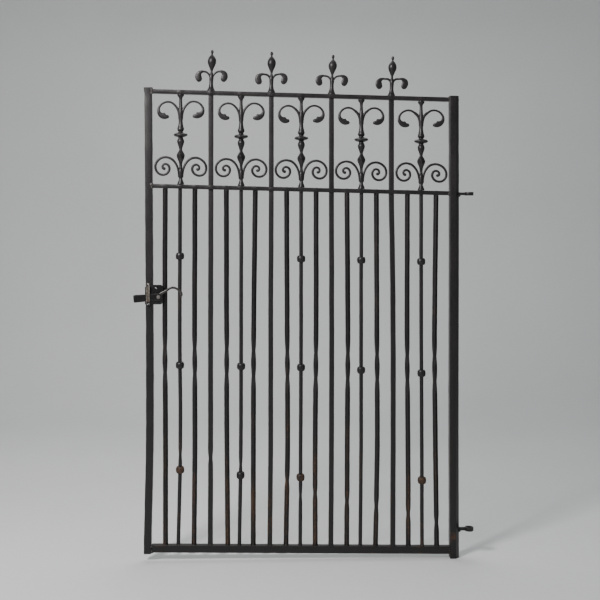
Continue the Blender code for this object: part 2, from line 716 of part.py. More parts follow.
def make_keeper(gate):
    """A strap over the tongue, its upper foot on the stile and its lower foot on the plate."""
    low, high = keeper_inside()
    inside = lever_front - keeper_clearance
    outside = inside - keeper_thickness
    stile_seat, plate_seat = stile_front - gap, plate_front - gap
    outline = [
        (plate_seat, low - keeper_foot), (plate_seat, low), (inside, low), (inside, high),
        (stile_seat, high), (stile_seat, high + keeper_foot),
        (stile_seat - keeper_thickness, high + keeper_foot),
        (stile_seat - keeper_thickness, high + keeper_thickness),
        (outside, high + keeper_thickness), (outside, low - keeper_thickness),
        (plate_seat - keeper_thickness, low - keeper_thickness),
        (plate_seat - keeper_thickness, low - keeper_foot)]
    half = keeper_width / 2
    bm = bmesh.new()
    add_loft(bm, [[(x, y, z) for y, z in outline] for x in (-half, half)])
    keeper = gate.place("keeper_strap", closed_mesh("keeper_strap", bm), "rusty_strap",
                        latch_stile_x, z=pivot_z)
    bm = bmesh.new()
    for z in keeper_screw_heights():
        add_screw_hole(bm, 0, z, outside - beyond, 0)
    tool = gate.helper("keeper_holes", closed_mesh("keeper_holes", bm), latch_stile_x, z=pivot_z)
    gate.boolean(keeper, tool, "DIFFERENCE")

    feet = (("lower", plate_seat - keeper_thickness), ("upper", stile_seat - keeper_thickness))
    for (name, face), z in zip(feet, keeper_screw_heights()):
        seat = face - gap
        bm = bmesh.new()
        add_along_y(bm, head_rings(screw_head_shape, screw_head_radius, screw_head_height, seat))
        head = closed_mesh("screw_head", bm)
        bm = bmesh.new()
        add_along_y(bm, [(square_ring(screw_radius * math.sqrt(2), 0), y)
                         for y in (seat - screw_head_height / 2, stile_front + screw_length)])
        mesh = gate.joined(f"keeper_screw_{name}", head, [closed_mesh("screw_shank", bm)])
        settle(mesh)
        gate.place(f"keeper_screw_{name}", mesh, "rusty_strap", latch_stile_x, z=pivot_z + z)


def main():
    for old in list(bpy.data.objects):
        bpy.data.objects.remove(old)
    gate = Gate(make_finishes())
    make_stiles(gate)
    make_rails(gate)
    make_through_bars(gate)
    make_twisted_bars(gate)
    make_ball_bars(gate)
    make_balusters(gate)
    make_finials(gate)
    make_hinge_eyes(gate)
    make_latch_plate(gate)
    make_lever(gate)
    make_pivot(gate)
    make_keeper(gate)


main()
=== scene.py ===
import math

import bmesh
import bpy
import numpy as np
from mathutils import Matrix, Vector, noise


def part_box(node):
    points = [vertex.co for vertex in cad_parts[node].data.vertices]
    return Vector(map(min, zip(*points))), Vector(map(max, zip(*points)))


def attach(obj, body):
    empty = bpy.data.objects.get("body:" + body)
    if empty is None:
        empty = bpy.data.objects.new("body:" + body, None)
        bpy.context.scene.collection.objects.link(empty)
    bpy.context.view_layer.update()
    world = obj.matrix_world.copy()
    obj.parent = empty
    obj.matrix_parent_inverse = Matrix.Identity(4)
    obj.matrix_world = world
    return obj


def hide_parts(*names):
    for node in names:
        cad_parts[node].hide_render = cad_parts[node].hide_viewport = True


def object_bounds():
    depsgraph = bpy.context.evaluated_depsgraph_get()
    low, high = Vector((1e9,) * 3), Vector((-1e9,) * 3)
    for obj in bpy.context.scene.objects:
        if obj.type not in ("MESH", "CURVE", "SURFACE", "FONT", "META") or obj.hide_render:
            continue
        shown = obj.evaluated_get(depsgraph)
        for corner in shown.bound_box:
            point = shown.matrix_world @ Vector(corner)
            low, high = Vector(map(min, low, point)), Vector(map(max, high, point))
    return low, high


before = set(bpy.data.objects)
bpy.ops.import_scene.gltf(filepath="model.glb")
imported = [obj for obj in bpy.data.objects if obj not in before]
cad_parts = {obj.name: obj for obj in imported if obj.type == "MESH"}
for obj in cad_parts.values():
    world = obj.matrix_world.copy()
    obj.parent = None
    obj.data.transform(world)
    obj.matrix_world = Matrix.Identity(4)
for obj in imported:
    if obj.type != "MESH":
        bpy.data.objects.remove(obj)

cadBox = [list(corner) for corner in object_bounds()]
noise.seed_set(3)              # or noise_vector changes from run to run


def meshFrom(bm, name):
    mesh = bpy.data.meshes.new(name)
    bm.to_mesh(mesh)
    bm.free()
    return mesh


# --- node trees: sockets that take arithmetic, for shaders and for geometry

class Wire:
    def __init__(self, tree, socket):
        self.tree, self.socket = tree, socket

    def __add__(self, other): return self.tree.math("ADD", self, other)
    def __radd__(self, other): return self.tree.math("ADD", other, self)
    def __sub__(self, other): return self.tree.math("SUBTRACT", self, other)
    def __rsub__(self, other): return self.tree.math("SUBTRACT", other, self)
    def __mul__(self, other): return self.tree.math("MULTIPLY", self, other)
    def __rmul__(self, other): return self.tree.math("MULTIPLY", other, self)
    def __truediv__(self, other): return self.tree.math("DIVIDE", self, other)
    def __pow__(self, other): return self.tree.math("POWER", self, other)
    def __gt__(self, other): return self.tree.math("GREATER_THAN", self, other)
    def __mod__(self, other): return self.tree.math("FLOORED_MODULO", self, other)


class Tree:
    def __init__(self, nodeTree, kind):
        self.nodeTree, self.kind = nodeTree, kind

    # a node of a type, its settings first, then its sockets by name or number
    def add(self, kind, settings=None, sockets=None, out=0):
        node = self.nodeTree.nodes.new(kind)
        for name, value in (settings or {}).items():
            setattr(node, name, value)
        for name, value in (sockets or {}).items():
            if isinstance(value, Wire):
                self.nodeTree.links.new(value.socket, node.inputs[name])
            else:
                node.inputs[name].default_value = value
        return Wire(self, node.outputs[out])

    def math(self, operation, a, b=0.0, c=0.0):
        return self.add("ShaderNodeMath", {"operation": operation}, {0: a, 1: b, 2: c})

    def vector(self, operation, a, b=(0.0, 0.0, 0.0), scale=None, out=0):
        sockets = {0: a, 1: b}
        if scale is not None:
            sockets["Scale"] = scale
        return self.add("ShaderNodeVectorMath", {"operation": operation}, sockets, out)

    def rise(self, value, low, high):      # 0 below low, 1 above high, smooth between
        return self.add("ShaderNodeMapRange", {"interpolation_type": "SMOOTHSTEP"},
                        {"Value": value, "From Min": low, "From Max": high})

    def blend(self, share, a, b):          # of two colours
        return self.add("ShaderNodeMix", {"data_type": "RGBA"}, {0: share, 6: a, 7: b}, 2)


# --- finishes

def rgb(r, g, b):
    return (r, g, b, 1.0)


ironFinish = {
    "paint": rgb(0.0075, 0.0066, 0.0072),
    "paintWorn": rgb(0.021, 0.018, 0.0185),
    "rustDark": rgb(0.020, 0.0105, 0.0065),
    "rustLight": rgb(0.080, 0.036, 0.016),
    "rustFrom": 0.56,          # height over the lower eye below which the rust gathers
    "grain": 170.0,            # lumps in a metre of forged skin
    "bare": rgb(0.42, 0.39, 0.36),
    # near black that the skin turns to, more towards the bottom
    "grime": rgb(0.0022, 0.0019, 0.0018),
}


def startFinish(name):
    material = bpy.data.materials.new(name)
    material.use_nodes = True
    tree = Tree(material.node_tree, "shader")
    tree.nodeTree.nodes.clear()
    output = tree.nodeTree.nodes.new("ShaderNodeOutputMaterial")
    shader = tree.nodeTree.nodes.new("ShaderNodeBsdfPrincipled")
    tree.nodeTree.links.new(shader.outputs[0], output.inputs[0])
    return material, tree, shader


def feed(tree, shader, links, **values):
    for name, wire in links.items():
        tree.nodeTree.links.new(wire.socket, shader.inputs[name])
    for name, value in values.items():
        shader.inputs[name.replace("_", " ")].default_value = value


# painted forged iron: rust is the share of it that shows, and rubbed that of bare metal on its
# edges; a mesh can say by attributes where it has rusted more and where its paint was kept
def paintedIron(name, rust, roughness, paint=None, worn=None, relief=0.5, rubbed=0.0):
    d = ironFinish
    material, tree, shader = startFinish(name)
    place = tree.add("ShaderNodeTexCoord", out="Object")
    ridge = tree.add("ShaderNodeAttribute", {"attribute_name": "ridge"}, out="Fac")
    rusted = tree.add("ShaderNodeAttribute", {"attribute_name": "rusted"}, out="Fac")
    kept = tree.add("ShaderNodeAttribute", {"attribute_name": "kept"}, out="Fac")
    height = tree.add("ShaderNodeSeparateXYZ", sockets={0: place}, out=2)
    long = tree.vector("MULTIPLY", place, (1.0, 1.0, 0.35))
    broad = tree.add("ShaderNodeTexNoise", sockets={
        "Vector": long, "Scale": 14.0, "Detail": 5.0, "Roughness": 0.62})
    fine = tree.add("ShaderNodeTexNoise", sockets={
        "Vector": place, "Scale": d["grain"], "Detail": 6.0, "Roughness": 0.65})
    pits = tree.add("ShaderNodeTexVoronoi", {"feature": "SMOOTH_F1"}, {
        "Vector": place, "Scale": 260.0, "Smoothness": 0.6})
    low = 1.0 - tree.rise(height, 0.05, d["rustFrom"])
    patches = tree.rise(broad + fine * 0.45 + low * 0.10 + ridge * 0.12 * low + rusted * 0.35
                        + (rust - 0.5) * 0.6, 0.86, 1.06)
    streaks = ridge ** 2.0 * tree.rise(broad * 0.6 + fine * 0.5, 0.46, 0.72) * (0.25 + low * 0.75)
    rusty = tree.math("MINIMUM", patches + streaks * rust, 1.0)
    skin = tree.blend(tree.rise(fine * 0.6 + broad * 0.5, 0.42, 0.72),
                      paint or d["paint"], worn or d["paintWorn"])
    # the skin is darkened towards the bottom of the gate, in patches
    grime = (1.0 - tree.rise(height, -0.2, 1.5)) * tree.rise(broad + fine * 0.3, 0.35, 0.75)
    skin = tree.blend(grime * 0.8, skin, d["grime"])
    scale = tree.blend(tree.rise(fine, 0.38, 0.66), d["rustDark"], d["rustLight"])
    colour = tree.blend(rusty, skin, scale)
    colour = tree.blend(kept * tree.rise(fine + broad, 0.55, 0.80), colour, d["paint"])
    bare = ridge * tree.rise(broad * 0.5 + fine * 0.6, 0.44, 0.66) * rubbed
    colour = tree.blend(bare, colour, d["bare"])
    gloss = roughness + fine * 0.16 + broad * 0.10 - 0.13 + rusty * 0.25
    dents = broad * 0.5 + fine * 0.7 + pits * 0.35
    bump = tree.add("ShaderNodeBump", sockets={
        "Strength": relief, "Distance": 0.0012, "Height": dents})
    feed(tree, shader, {"Base Color": colour, "Roughness": gloss, "Normal": bump,
                        "Metallic": bare}, Specular_IOR_Level=0.42)
    return material


def makeFinishes():
    print("finishes")
    return {
        "frame": paintedIron("framePaint", 0.28, 0.40),
        "bars": paintedIron("barPaint", 0.50, 0.40),
        "eyes": paintedIron("eyePaint", 0.34, 0.38),
        "weld": paintedIron("weldPaint", 0.40, 0.30, rgb(0.022, 0.019, 0.019),
                            rgb(0.070, 0.062, 0.058), 0.6),
        "latch": paintedIron("latchPaint", 0.10, 0.28, rgb(0.005, 0.005, 0.0055),
                             rgb(0.012, 0.011, 0.012), 0.25, 0.7),
        "strap": paintedIron("strapRust", 0.46, 0.50, rgb(0.045, 0.037, 0.026),
                             rgb(0.095, 0.080, 0.058), 0.4, 0.5),
        "steel": paintedIron("wornSteel", 0.34, 0.40, rgb(0.030, 0.027, 0.025),
                             rgb(0.22, 0.205, 0.195), 0.5),
    }


finishes = makeFinishes()


# --- floor, light and camera

stageSet = {
    "floorSize": 9.0,          # half of it
    "backdrop": 3.2,           # behind the gate
    "backdropTop": 5.0,
    "curve": 1.2,              # radius with which the floor turns up into the backdrop
    "plaster": (rgb(0.60, 0.61, 0.61), rgb(0.72, 0.73, 0.73)),
    # from the middle of the gate's foot: place, size, power and tint
    "lights": {
        "key": ((-1.6, -1.9, 2.5), 0.7, 105.0, (1.0, 0.97, 0.955)),
        "fill": ((2.6, -2.4, 1.6), 2.2, 5.0, (0.94, 0.97, 1.0)),
        "over": ((0.0, 1.2, 3.4), 2.6, 50.0, (1.0, 1.0, 1.0)),
    },
    "aimHeight": 0.9,
    "room": rgb(0.86, 0.90, 0.92),
    "roomPower": 0.32,
    "cameraAway": 3.3,
    "cameraHeight": 1.123,     # over the lower hinge eye
    "turn": math.radians(1.8),
    "lens": 58.6,
    "shiftUp": -0.167,
    "shiftAcross": -0.0023,
}


def makeFloor(middle, level):
    d = stageSet
    half, back, curve = d["floorSize"], d["backdrop"], d["curve"]
    bm = bmesh.new()
    profile = [(-half, 0.0), (back - curve, 0.0)]
    profile += [(back - curve + curve * math.sin(a), curve - curve * math.cos(a))
                for a in (math.pi / 2 * i / 16 for i in range(1, 17))]
    profile.append((back, d["backdropTop"]))
    rows = [[bm.verts.new((middle + x, y, level + z)) for y, z in profile] for x in (-half, half)]
    for i in range(len(profile) - 1):
        bm.faces.new((rows[0][i], rows[1][i], rows[1][i + 1], rows[0][i + 1]))
    mesh = meshFrom(bm, "floor")
    mesh.shade_smooth()
    floor = bpy.data.objects.new("floor", mesh)
    bpy.context.scene.collection.objects.link(floor)
    material, tree, shader = startFinish("palePlaster")
    place = tree.add("ShaderNodeTexCoord", out="Object")
    cloud = tree.add("ShaderNodeTexNoise", sockets={"Vector": place, "Scale": 1.4, "Detail": 4.0})
    speck = tree.add("ShaderNodeTexNoise", sockets={"Vector": place, "Scale": 60.0, "Detail": 4.0})
    shade = tree.blend(cloud * 0.6 + speck * 0.4, *d["plaster"])
    bump = tree.add("ShaderNodeBump", sockets={"Strength": 0.1, "Distance": 0.001,
                                               "Height": speck})
    feed(tree, shader, {"Base Color": shade, "Normal": bump}, Roughness=0.85)
    mesh.materials.append(material)


def makeStage():
    print("floor, light and camera")
    d = stageSet
    middle = sum(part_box("ball_bar_3"), Vector()).x / 2
    level = cadBox[0][2]
    makeFloor(middle, level)
    aim = Vector((middle, 0.0, level + d["aimHeight"]))
    for name, (away, size, power, tint) in d["lights"].items():
        lamp = bpy.data.lights.new(name, "AREA")
        lamp.shape = "DISK"
        lamp.size, lamp.energy, lamp.color = size, power, tint
        holder = bpy.data.objects.new(name, lamp)
        holder.location = Vector((middle, 0.0, level)) + Vector(away)
        holder.rotation_euler = (aim - holder.location).to_track_quat("-Z", "Y").to_euler()
        bpy.context.scene.collection.objects.link(holder)

    world = bpy.data.worlds.new("room")
    world.use_nodes = True
    world.node_tree.nodes["Background"].inputs[0].default_value = d["room"]
    world.node_tree.nodes["Background"].inputs[1].default_value = d["roomPower"]
    bpy.context.scene.world = world

    camera = bpy.data.cameras.new("camera")
    camera.lens, camera.sensor_width = d["lens"], 36.0
    camera.shift_x, camera.shift_y = d["shiftAcross"], d["shiftUp"]
    eye = bpy.data.objects.new("camera", camera)
    away, turn = d["cameraAway"], d["turn"]
    eye.location = (middle - away * math.sin(turn), -away * math.cos(turn), d["cameraHeight"])
    eye.rotation_euler = (math.pi / 2, 0.0, -turn)
    bpy.context.scene.collection.objects.link(eye)
    bpy.context.scene.camera = eye


makeStage()


# --- places taken from the frame

boxes = {node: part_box(node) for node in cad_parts}


def middleOf(node):
    low, high = boxes[node]
    return (low + high) / 2


latchStile, hingeStile = boxes["latch_stile"], boxes["hinge_stile"]
innerLeft, innerRight = latchStile[1].x, hingeStile[0].x
firstFinial, lastFinial = middleOf("finial_1"), middleOf("finial_4")
slope = (firstFinial.z - lastFinial.z) / (lastFinial.x - firstFinial.x)
bottomTilt = 0.0085            # of the bottom rail against the others


def railSize(node):
    low, high = boxes[node]
    return high.z - low.z - slope * (innerRight - innerLeft), high.y - low.y


# share 1 is the top of the rail, -1 its underside; the bottom rail has dropped at the latch
def railHeight(node, x, share=0.0):
    middle = middleOf(node)
    fall = slope - (bottomTilt if node == "bottom_rail" else 0.0)
    return middle.z - fall * (x - middle.x) + share * railSize(node)[0] / 2


barOrder = sorted((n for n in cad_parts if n.startswith(("through", "ball", "twisted"))),
                  key=lambda n: middleOf(n).x)


# --- the sweep: a ring of points carried along a line, for everything that was forged to length

def newTree(name, inputs):
    group = bpy.data.node_groups.new(name, "GeometryNodeTree")
    for label, kind, default in inputs:
        socket = group.interface.new_socket(name=label, in_out="INPUT", socket_type=kind)
        if default is not None:
            socket.default_value = default
    group.interface.new_socket(name="Geometry", in_out="OUTPUT",
                               socket_type="NodeSocketGeometry")
    tree = Tree(group, "geometry")
    source = group.nodes.new("NodeGroupInput")
    wires = {label: Wire(tree, source.outputs[label]) for label, kind, default in inputs}
    return group, tree, wires


def finishTree(group, tree, geometry, material):
    realised = tree.add("GeometryNodeRealizeInstances", sockets={0: geometry})
    painted = tree.add("GeometryNodeSetMaterial", sockets={"Geometry": realised,
                                                           "Material": material})
    end = group.nodes.new("NodeGroupOutput")
    group.links.new(painted.socket, end.inputs[0])


def makeSweepTree():
    group, tree, given = newTree("forgedSweep", [
        ("Spine", "NodeSocketGeometry", None), ("Corner Steps", "NodeSocketInt", 3),
        ("Hammer Depth", "NodeSocketFloat", 0.0003), ("Hammer Scale", "NodeSocketFloat", 45.0),
        ("Seed", "NodeSocketFloat", 0.0), ("Finish", "NodeSocketMaterial", None)])
    quarter = math.pi / 2
    steps = given["Corner Steps"]
    count = tree.add("GeometryNodeAttributeDomainSize", sockets={0: given["Spine"]})
    ringPoints = (steps + 2.0) * 4.0
    grid = tree.add("GeometryNodeMeshGrid", sockets={
        "Size X": 1.0, "Size Y": 1.0, "Vertices X": count, "Vertices Y": ringPoints + 1.0})
    place = tree.add("GeometryNodeInputPosition")
    x = tree.add("ShaderNodeSeparateXYZ", sockets={0: place}, out=0)
    y = tree.add("ShaderNodeSeparateXYZ", sockets={0: place}, out=1)
    station = tree.math("ROUND", (x + 0.5) * (count - 1.0))
    k = tree.math("ROUND", (y + 0.5) * ringPoints) % ringPoints
    cornerNumber = tree.math("FLOOR", k / (steps + 2.0) + 0.001)
    step = k - cornerNumber * (steps + 2.0)
    flat = step > steps + 0.5

    def along(label, kind="FLOAT"):
        value = tree.add("GeometryNodeInputNamedAttribute", {"data_type": kind}, {"Name": label})
        return tree.add("GeometryNodeSampleIndex", {"data_type": kind, "domain": "POINT"},
                        {"Geometry": given["Spine"], "Value": value, "Index": station})

    centre = tree.add("GeometryNodeSampleIndex", {"data_type": "FLOAT_VECTOR", "domain": "POINT"},
                      {"Geometry": given["Spine"], "Value": place, "Index": station})
    corner = along("corner")
    rounding = tree.math("MAXIMUM", corner, flat)
    arc = (cornerNumber + tree.math("MINIMUM", step / steps, 1.0)) * quarter
    diagonal = (cornerNumber + 0.5) * quarter
    reach = (1.0 - rounding) * math.sqrt(2)
    across = (reach * tree.math("COSINE", diagonal) + rounding * tree.math("COSINE", arc)) \
        * along("wide")
    deep = (reach * tree.math("SINE", diagonal) + rounding * tree.math("SINE", arc)) \
        * along("deep")
    turn = along("turn")
    cosine, sine = tree.math("COSINE", turn), tree.math("SINE", turn)
    sideways = tree.vector("SCALE", along("side", "FLOAT_VECTOR"),
                           scale=across * cosine - deep * sine)
    inwards = tree.vector("SCALE", along("depthWay", "FLOAT_VECTOR"),
                          scale=across * sine + deep * cosine)
    ridged = tree.add("GeometryNodeStoreNamedAttribute", {"data_type": "FLOAT", "domain": "POINT"},
                      {"Geometry": grid, "Name": "ridge", "Value": (1.0 - flat) * (1.0 - corner)})
    swept = tree.add("GeometryNodeSetPosition", sockets={
        "Geometry": ridged,
        "Position": tree.vector("ADD", centre, tree.vector("ADD", sideways, inwards))})
    merged = tree.add("GeometryNodeMergeByDistance", sockets={"Geometry": swept,
                                                              "Distance": 0.00001})
    skin = tree.add("ShaderNodeTexNoise", {"noise_dimensions": "4D"}, {
        "Vector": place, "W": given["Seed"], "Scale": given["Hammer Scale"], "Detail": 2.0})
    hammered = tree.add("GeometryNodeSetPosition", sockets={
        "Geometry": merged,
        "Offset": tree.vector("SCALE", tree.add("GeometryNodeInputNormal"),
                              scale=(skin - 0.5) * given["Hammer Depth"])})
    finishTree(group, tree, hammered, given["Finish"])
    return group


sweepTree = makeSweepTree()
across, upright, inward = Vector((1, 0, 0)), Vector((0, 0, 1)), Vector((0, 1, 0))


def station(point, wide, deep, side=across, depthWay=inward, turn=0.0, corner=1.0):
    return dict(point=Vector(point), wide=wide, deep=deep, side=side, depthWay=depthWay,
                turn=turn, corner=corner)


def setInputs(modifier, values):
    for item in modifier.node_group.interface.items_tree:
        if item.item_type == "SOCKET" and item.in_out == "INPUT" and item.name in values:
            modifier[item.identifier] = values[item.name]


def sharpen(mesh, angle=38):
    mesh.shade_smooth()
    mesh.set_sharp_from_angle(angle=math.radians(angle))


def plainMesh(work, name):
    bpy.context.view_layer.update()
    ready = work.evaluated_get(bpy.context.evaluated_depsgraph_get())
    mesh = bpy.data.meshes.new_from_object(ready)
    mesh.name = name
    bm = bmesh.new()
    bm.from_mesh(mesh)
    bmesh.ops.remove_doubles(bm, verts=bm.verts, dist=0.000005)
    bmesh.ops.dissolve_degenerate(bm, edges=bm.edges, dist=0.000001)
    bmesh.ops.recalc_face_normals(bm, faces=bm.faces)
    bm.to_mesh(mesh)
    bm.free()
    bpy.data.objects.remove(work)
    sharpen(mesh)
    return mesh


# a closed solid along the stations; a flat end is closed by a station of no width
def sweep(name, stations, finish, steps=3, dents=0.0003, dentScale=45.0, loop=False):
    if not loop:
        first, last = dict(stations[0]), dict(stations[-1])
        for end in (first, last):
            end["wide"] = end["deep"] = 0.0
        stations = [first, *stations, last]
    spine = bpy.data.meshes.new(name)
    spine.from_pydata([s["point"] for s in stations],
                      [(i, i + 1) for i in range(len(stations) - 1)], [])
    for label in ("side", "depthWay"):
        attribute = spine.attributes.new(label, "FLOAT_VECTOR", "POINT")
        attribute.data.foreach_set("vector", np.array([s[label] for s in stations]).ravel())
    for label in ("wide", "deep", "turn", "corner"):
        attribute = spine.attributes.new(label, "FLOAT", "POINT")
        attribute.data.foreach_set("value", [s[label] for s in stations])
    work = bpy.data.objects.new(name, spine)
    bpy.context.scene.collection.objects.link(work)
    modifier = work.modifiers.new("forged", "NODES")
    modifier.node_group = sweepTree
    seed = sum(ord(letter) * (i + 1) for i, letter in enumerate(name)) % 997 * 0.37
    setInputs(modifier, {"Corner Steps": steps, "Hammer Depth": dents, "Hammer Scale": dentScale,
                         "Seed": seed, "Finish": finishes[finish]})
    return plainMesh(work, name)


def addObject(name, mesh):
    piece = bpy.data.objects.new(name, mesh)
    bpy.context.scene.collection.objects.link(piece)
    return piece


# one solid from several that run into each other, with holes cut out of it
def weldUp(name, meshes, holes=()):
    whole = addObject(name, meshes[0])
    tools = [addObject(name + "Part", mesh) for mesh in [*meshes[1:], *holes]]
    for i, tool in enumerate(tools):
        change = whole.modifiers.new("join", "BOOLEAN")
        change.operation = "UNION" if i < len(meshes) - 1 else "DIFFERENCE"
        change.solver = "EXACT"
        change.object = tool
    mesh = plainMesh(whole, name)
    for tool in tools:
        bpy.data.objects.remove(tool)
    return mesh


def place(name, mesh, slotName, *nodes, body="leaf"):
    piece = addObject(name, mesh)
    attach(piece, body)
    if nodes:
        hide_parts(*nodes)
    return piece


# marks a mesh for its finish, by a rule that gives a share for a point
def mark(mesh, label, rule):
    values = mesh.attributes.get(label) or mesh.attributes.new(label, "FLOAT", "POINT")
    values.data.foreach_set("value", [rule(vertex) for vertex in mesh.vertices])


# a smooth random value about 0 for a place
def unevenness(x, y, z):
    return noise.noise(Vector((x, y, z)))


# a smooth value from pairs of a way and a value
def through(pairs, way):
    ways, values = [p[0] for p in pairs], [p[1] for p in pairs]
    if way <= ways[0]:
        return values[0]
    for i in range(len(ways) - 1):
        if way <= ways[i + 1]:
            a, b = max(i - 1, 0), min(i + 2, len(ways) - 1)
            span = ways[i + 1] - ways[i]
            t = (way - ways[i]) / span
            m0 = (values[i + 1] - values[a]) / (ways[i + 1] - ways[a]) * span
            m1 = (values[b] - values[i]) / (ways[b] - ways[i]) * span
            return ((2 * t ** 3 - 3 * t ** 2 + 1) * values[i] + (t ** 3 - 2 * t ** 2 + t) * m0
                    + (3 * t ** 2 - 2 * t ** 3) * values[i + 1] + (t ** 3 - t ** 2) * m1)
    return values[-1]


def spaced(start, end, step):
    count = max(1, round(abs(end - start) / step))
    return [start + (end - start) * i / count for i in range(count + 1)]


# unit vectors along a line of points
def headings(points):
    return [(points[min(i + 1, len(points) - 1)] - points[max(i - 1, 0)]).normalized()
            for i in range(len(points))]


# points threaded smoothly through a few given ones
def threaded(points, count):
    ways = [i / (len(points) - 1) for i in range(len(points))]
    columns = [list(zip(ways, column)) for column in zip(*points)]
    return [[through(column, i / count) for column in columns] for i in range(count + 1)]


# --- stiles and rails

frameIron = {
    "rounding": 0.16,          # share of the half width that the arrises are worn round
    "wear": 0.0006,            # unevenness of the stiles' half widths
    "railWear": 0.0005,
    "step": 0.011,
    "latchBow": ((0.0, -3.4), (0.03, -3.0), (0.27, 4.0), (0.75, 1.0), (1.0, -1.5)),    # mm
    "hingeBow": ((0.0, 0.6), (0.3, -0.6), (0.7, 0.5), (1.0, 0.0)),
    "spread": 0.0012,          # of the latch stile by the hammer, sideways
    "headSwell": 0.0022,       # of the latch stile's upset head
    "headHeight": 0.022,
    "heel": 0.011,             # flat that is taken off the hinge stile's outer front corner
    "holeSwell": 0.0012,       # of a rail round a punched hole
    "holeReach": 0.013,
    "tenonShare": 0.54,        # of a rail's height
    "tenonDepth": 0.011,
    "rivetProud": 0.0006,
}


def makeLatchStile():
    d = frameIron
    low, high = latchStile
    half = (high.y - low.y) / 2
    x = (low.x + high.x) / 2
    stations = []
    for z in spaced(low.z, high.z, d["step"]):
        share = (z - low.z) / (high.z - low.z)
        fromHead = (high.z - z) / d["headHeight"]
        swell = d["headSwell"] * max(0.0, 1 - fromHead ** 2) if fromHead < 1 else 0.0
        worn = d["wear"] * unevenness(0, 3, z * 22)
        stations.append(station((x + through(d["latchBow"], share) / 1000, 0, z),
                                half + d["spread"] + swell + worn, half + swell * 0.4 + worn,
                                corner=d["rounding"]))
    place("latchStile", sweep("latchStile", stations, "frame", 3, 0.0010, 50.0),
          "black_paint", "latch_stile")


def makeHingeStile():
    d = frameIron
    low, high = hingeStile
    half = (high.x - low.x) / 2
    x = (low.x + high.x) / 2
    stations = []
    for z in spaced(low.z, high.z, d["step"]):
        share = (z - low.z) / (high.z - low.z)
        worn = d["wear"] * unevenness(5, 3, z * 22)
        stations.append(station((x + through(d["hingeBow"], share) / 1000, 0, z), half + worn,
                                half + worn, corner=0.09))
    bar = sweep("hingeStile", stations, "frame", 3, 0.0009, 50.0)
    # the heel: a wedge of the outer front corner is taken away over the stile's whole length
    bm = bmesh.new()
    bm.from_mesh(bar)
    edge = Vector((x + half - d["heel"] / 2, -half + d["heel"] / 2, 0))
    cut = bmesh.ops.bisect_plane(bm, geom=bm.verts[:] + bm.edges[:] + bm.faces[:], plane_co=edge,
                                 plane_no=(1, -1, 0), clear_outer=True)
    rim = [e for e in cut["geom_cut"] if isinstance(e, bmesh.types.BMEdge)]
    bmesh.ops.holes_fill(bm, edges=rim)
    bmesh.ops.recalc_face_normals(bm, faces=bm.faces)
    bm.to_mesh(bar)
    bm.free()
    sharpen(bar)
    spot = Vector((x, -half, boxes["hinge_eye_lower"][0].z - 0.008))
    mark(bar, "rusted", lambda v: max(0.0, 1.3 - (v.co - spot).length / 0.022))
    place("hingeStile", bar, "black_paint", "hinge_stile")


def makeRail(name, node, holes):
    d = frameIron
    height, depth = railSize(node)
    outerLeft, outerRight = latchStile[0].x, hingeStile[1].x
    tenonHeight, tenonDepth = height * d["tenonShare"], d["tenonDepth"]
    proud = d["rivetProud"]
    stations = []

    def add(x, tall, deep, corner):
        stations.append(station((x, 0, railHeight(node, x)), tall / 2, deep / 2, side=upright,
                                corner=corner))

    add(outerLeft - proud, tenonHeight * 0.7, tenonDepth * 0.8, 0.4)
    add(outerLeft, tenonHeight, tenonDepth, 0.3)
    add(innerLeft - 0.0002, tenonHeight, tenonDepth, 0.3)
    for x in spaced(innerLeft, innerRight, 0.0055):
        near = min((abs(x - hole) for hole in holes), default=1.0) / d["holeReach"]
        swell = d["holeSwell"] * (0.5 + 0.5 * math.cos(math.pi * near)) if near < 1 else 0.0
        worn = d["railWear"] * unevenness(x * 25, 7, height * 90)
        add(x, height + worn, depth + 2 * swell + worn, 0.20)
    add(innerRight + 0.0002, tenonHeight, tenonDepth, 0.3)
    add(outerRight, tenonHeight, tenonDepth, 0.3)
    add(outerRight + proud, tenonHeight * 0.7, tenonDepth * 0.8, 0.4)
    place(name, sweep(name, stations, "frame", 3, 0.0006, 60.0), "black_paint", node)


def makeFrame():
    print("stiles and rails")
    makeLatchStile()
    makeHingeStile()
    xs = [middleOf(node).x for node in barOrder]
    panel = [middleOf(n).x for n in barOrder if not n.startswith("twisted")]
    makeRail("topRail", "top_rail", panel)
    makeRail("middleRail", "middle_rail", xs)
    makeRail("bottomRail", "bottom_rail", [])


makeFrame()


# --- bars

barIron = {
    "throughSize": 0.0166,
    "twistedSize": 0.0131,
    "ballSize": 0.0133,
    "step": 0.0085,
    "twistMiddle": 0.512,      # shares of a bar's height
    "twistLength": 0.166,
    "waistDepth": 0.24,        # share of its thickness that a bar has lost to rust
    "waistLength": 0.017,
    "tenon": 0.0076,
    "wear": 0.00025,           # unevenness of a bar's half width
    "wander": 0.5,             # of its middle, in mm
    "askew": math.radians(3.0),
    # how far each bar strays sideways at its foot, at three and six tenths, and at its head, in mm
    "strays": ((0, 0, -2, -1), (-8, -1, -3, -2), (-6, -3, -4, -3), (-2, -1, -1, 0),
               (6, 3, 2, 1), (-6, -1, 0, 0), (-10, -9.5, -8.5, -3), (-5, -2, -2, 0),
               (-1, 4, 3, 1), (-4, -2.4, -1, -1), (-4, -4, -1, -1), (-2, 0, 1, 0),
               (1, 3, 5, 2), (-4, -1, -1, 0), (-3, 3, 2, 0), (5, 6, 6, 1),
               (7, 6, 3, 4), (3, 2, 0.4, 0), (2, -2, -5, 0)),
    "waists": {2: 0.253, 4: 0.245, 6: 0.225, 9: 0.182, 10: 0.140, 11: 0.148, 13: 0.125,
               15: 0.111, 17: 0.091, 19: 0.068},      # share of the bar's height
}


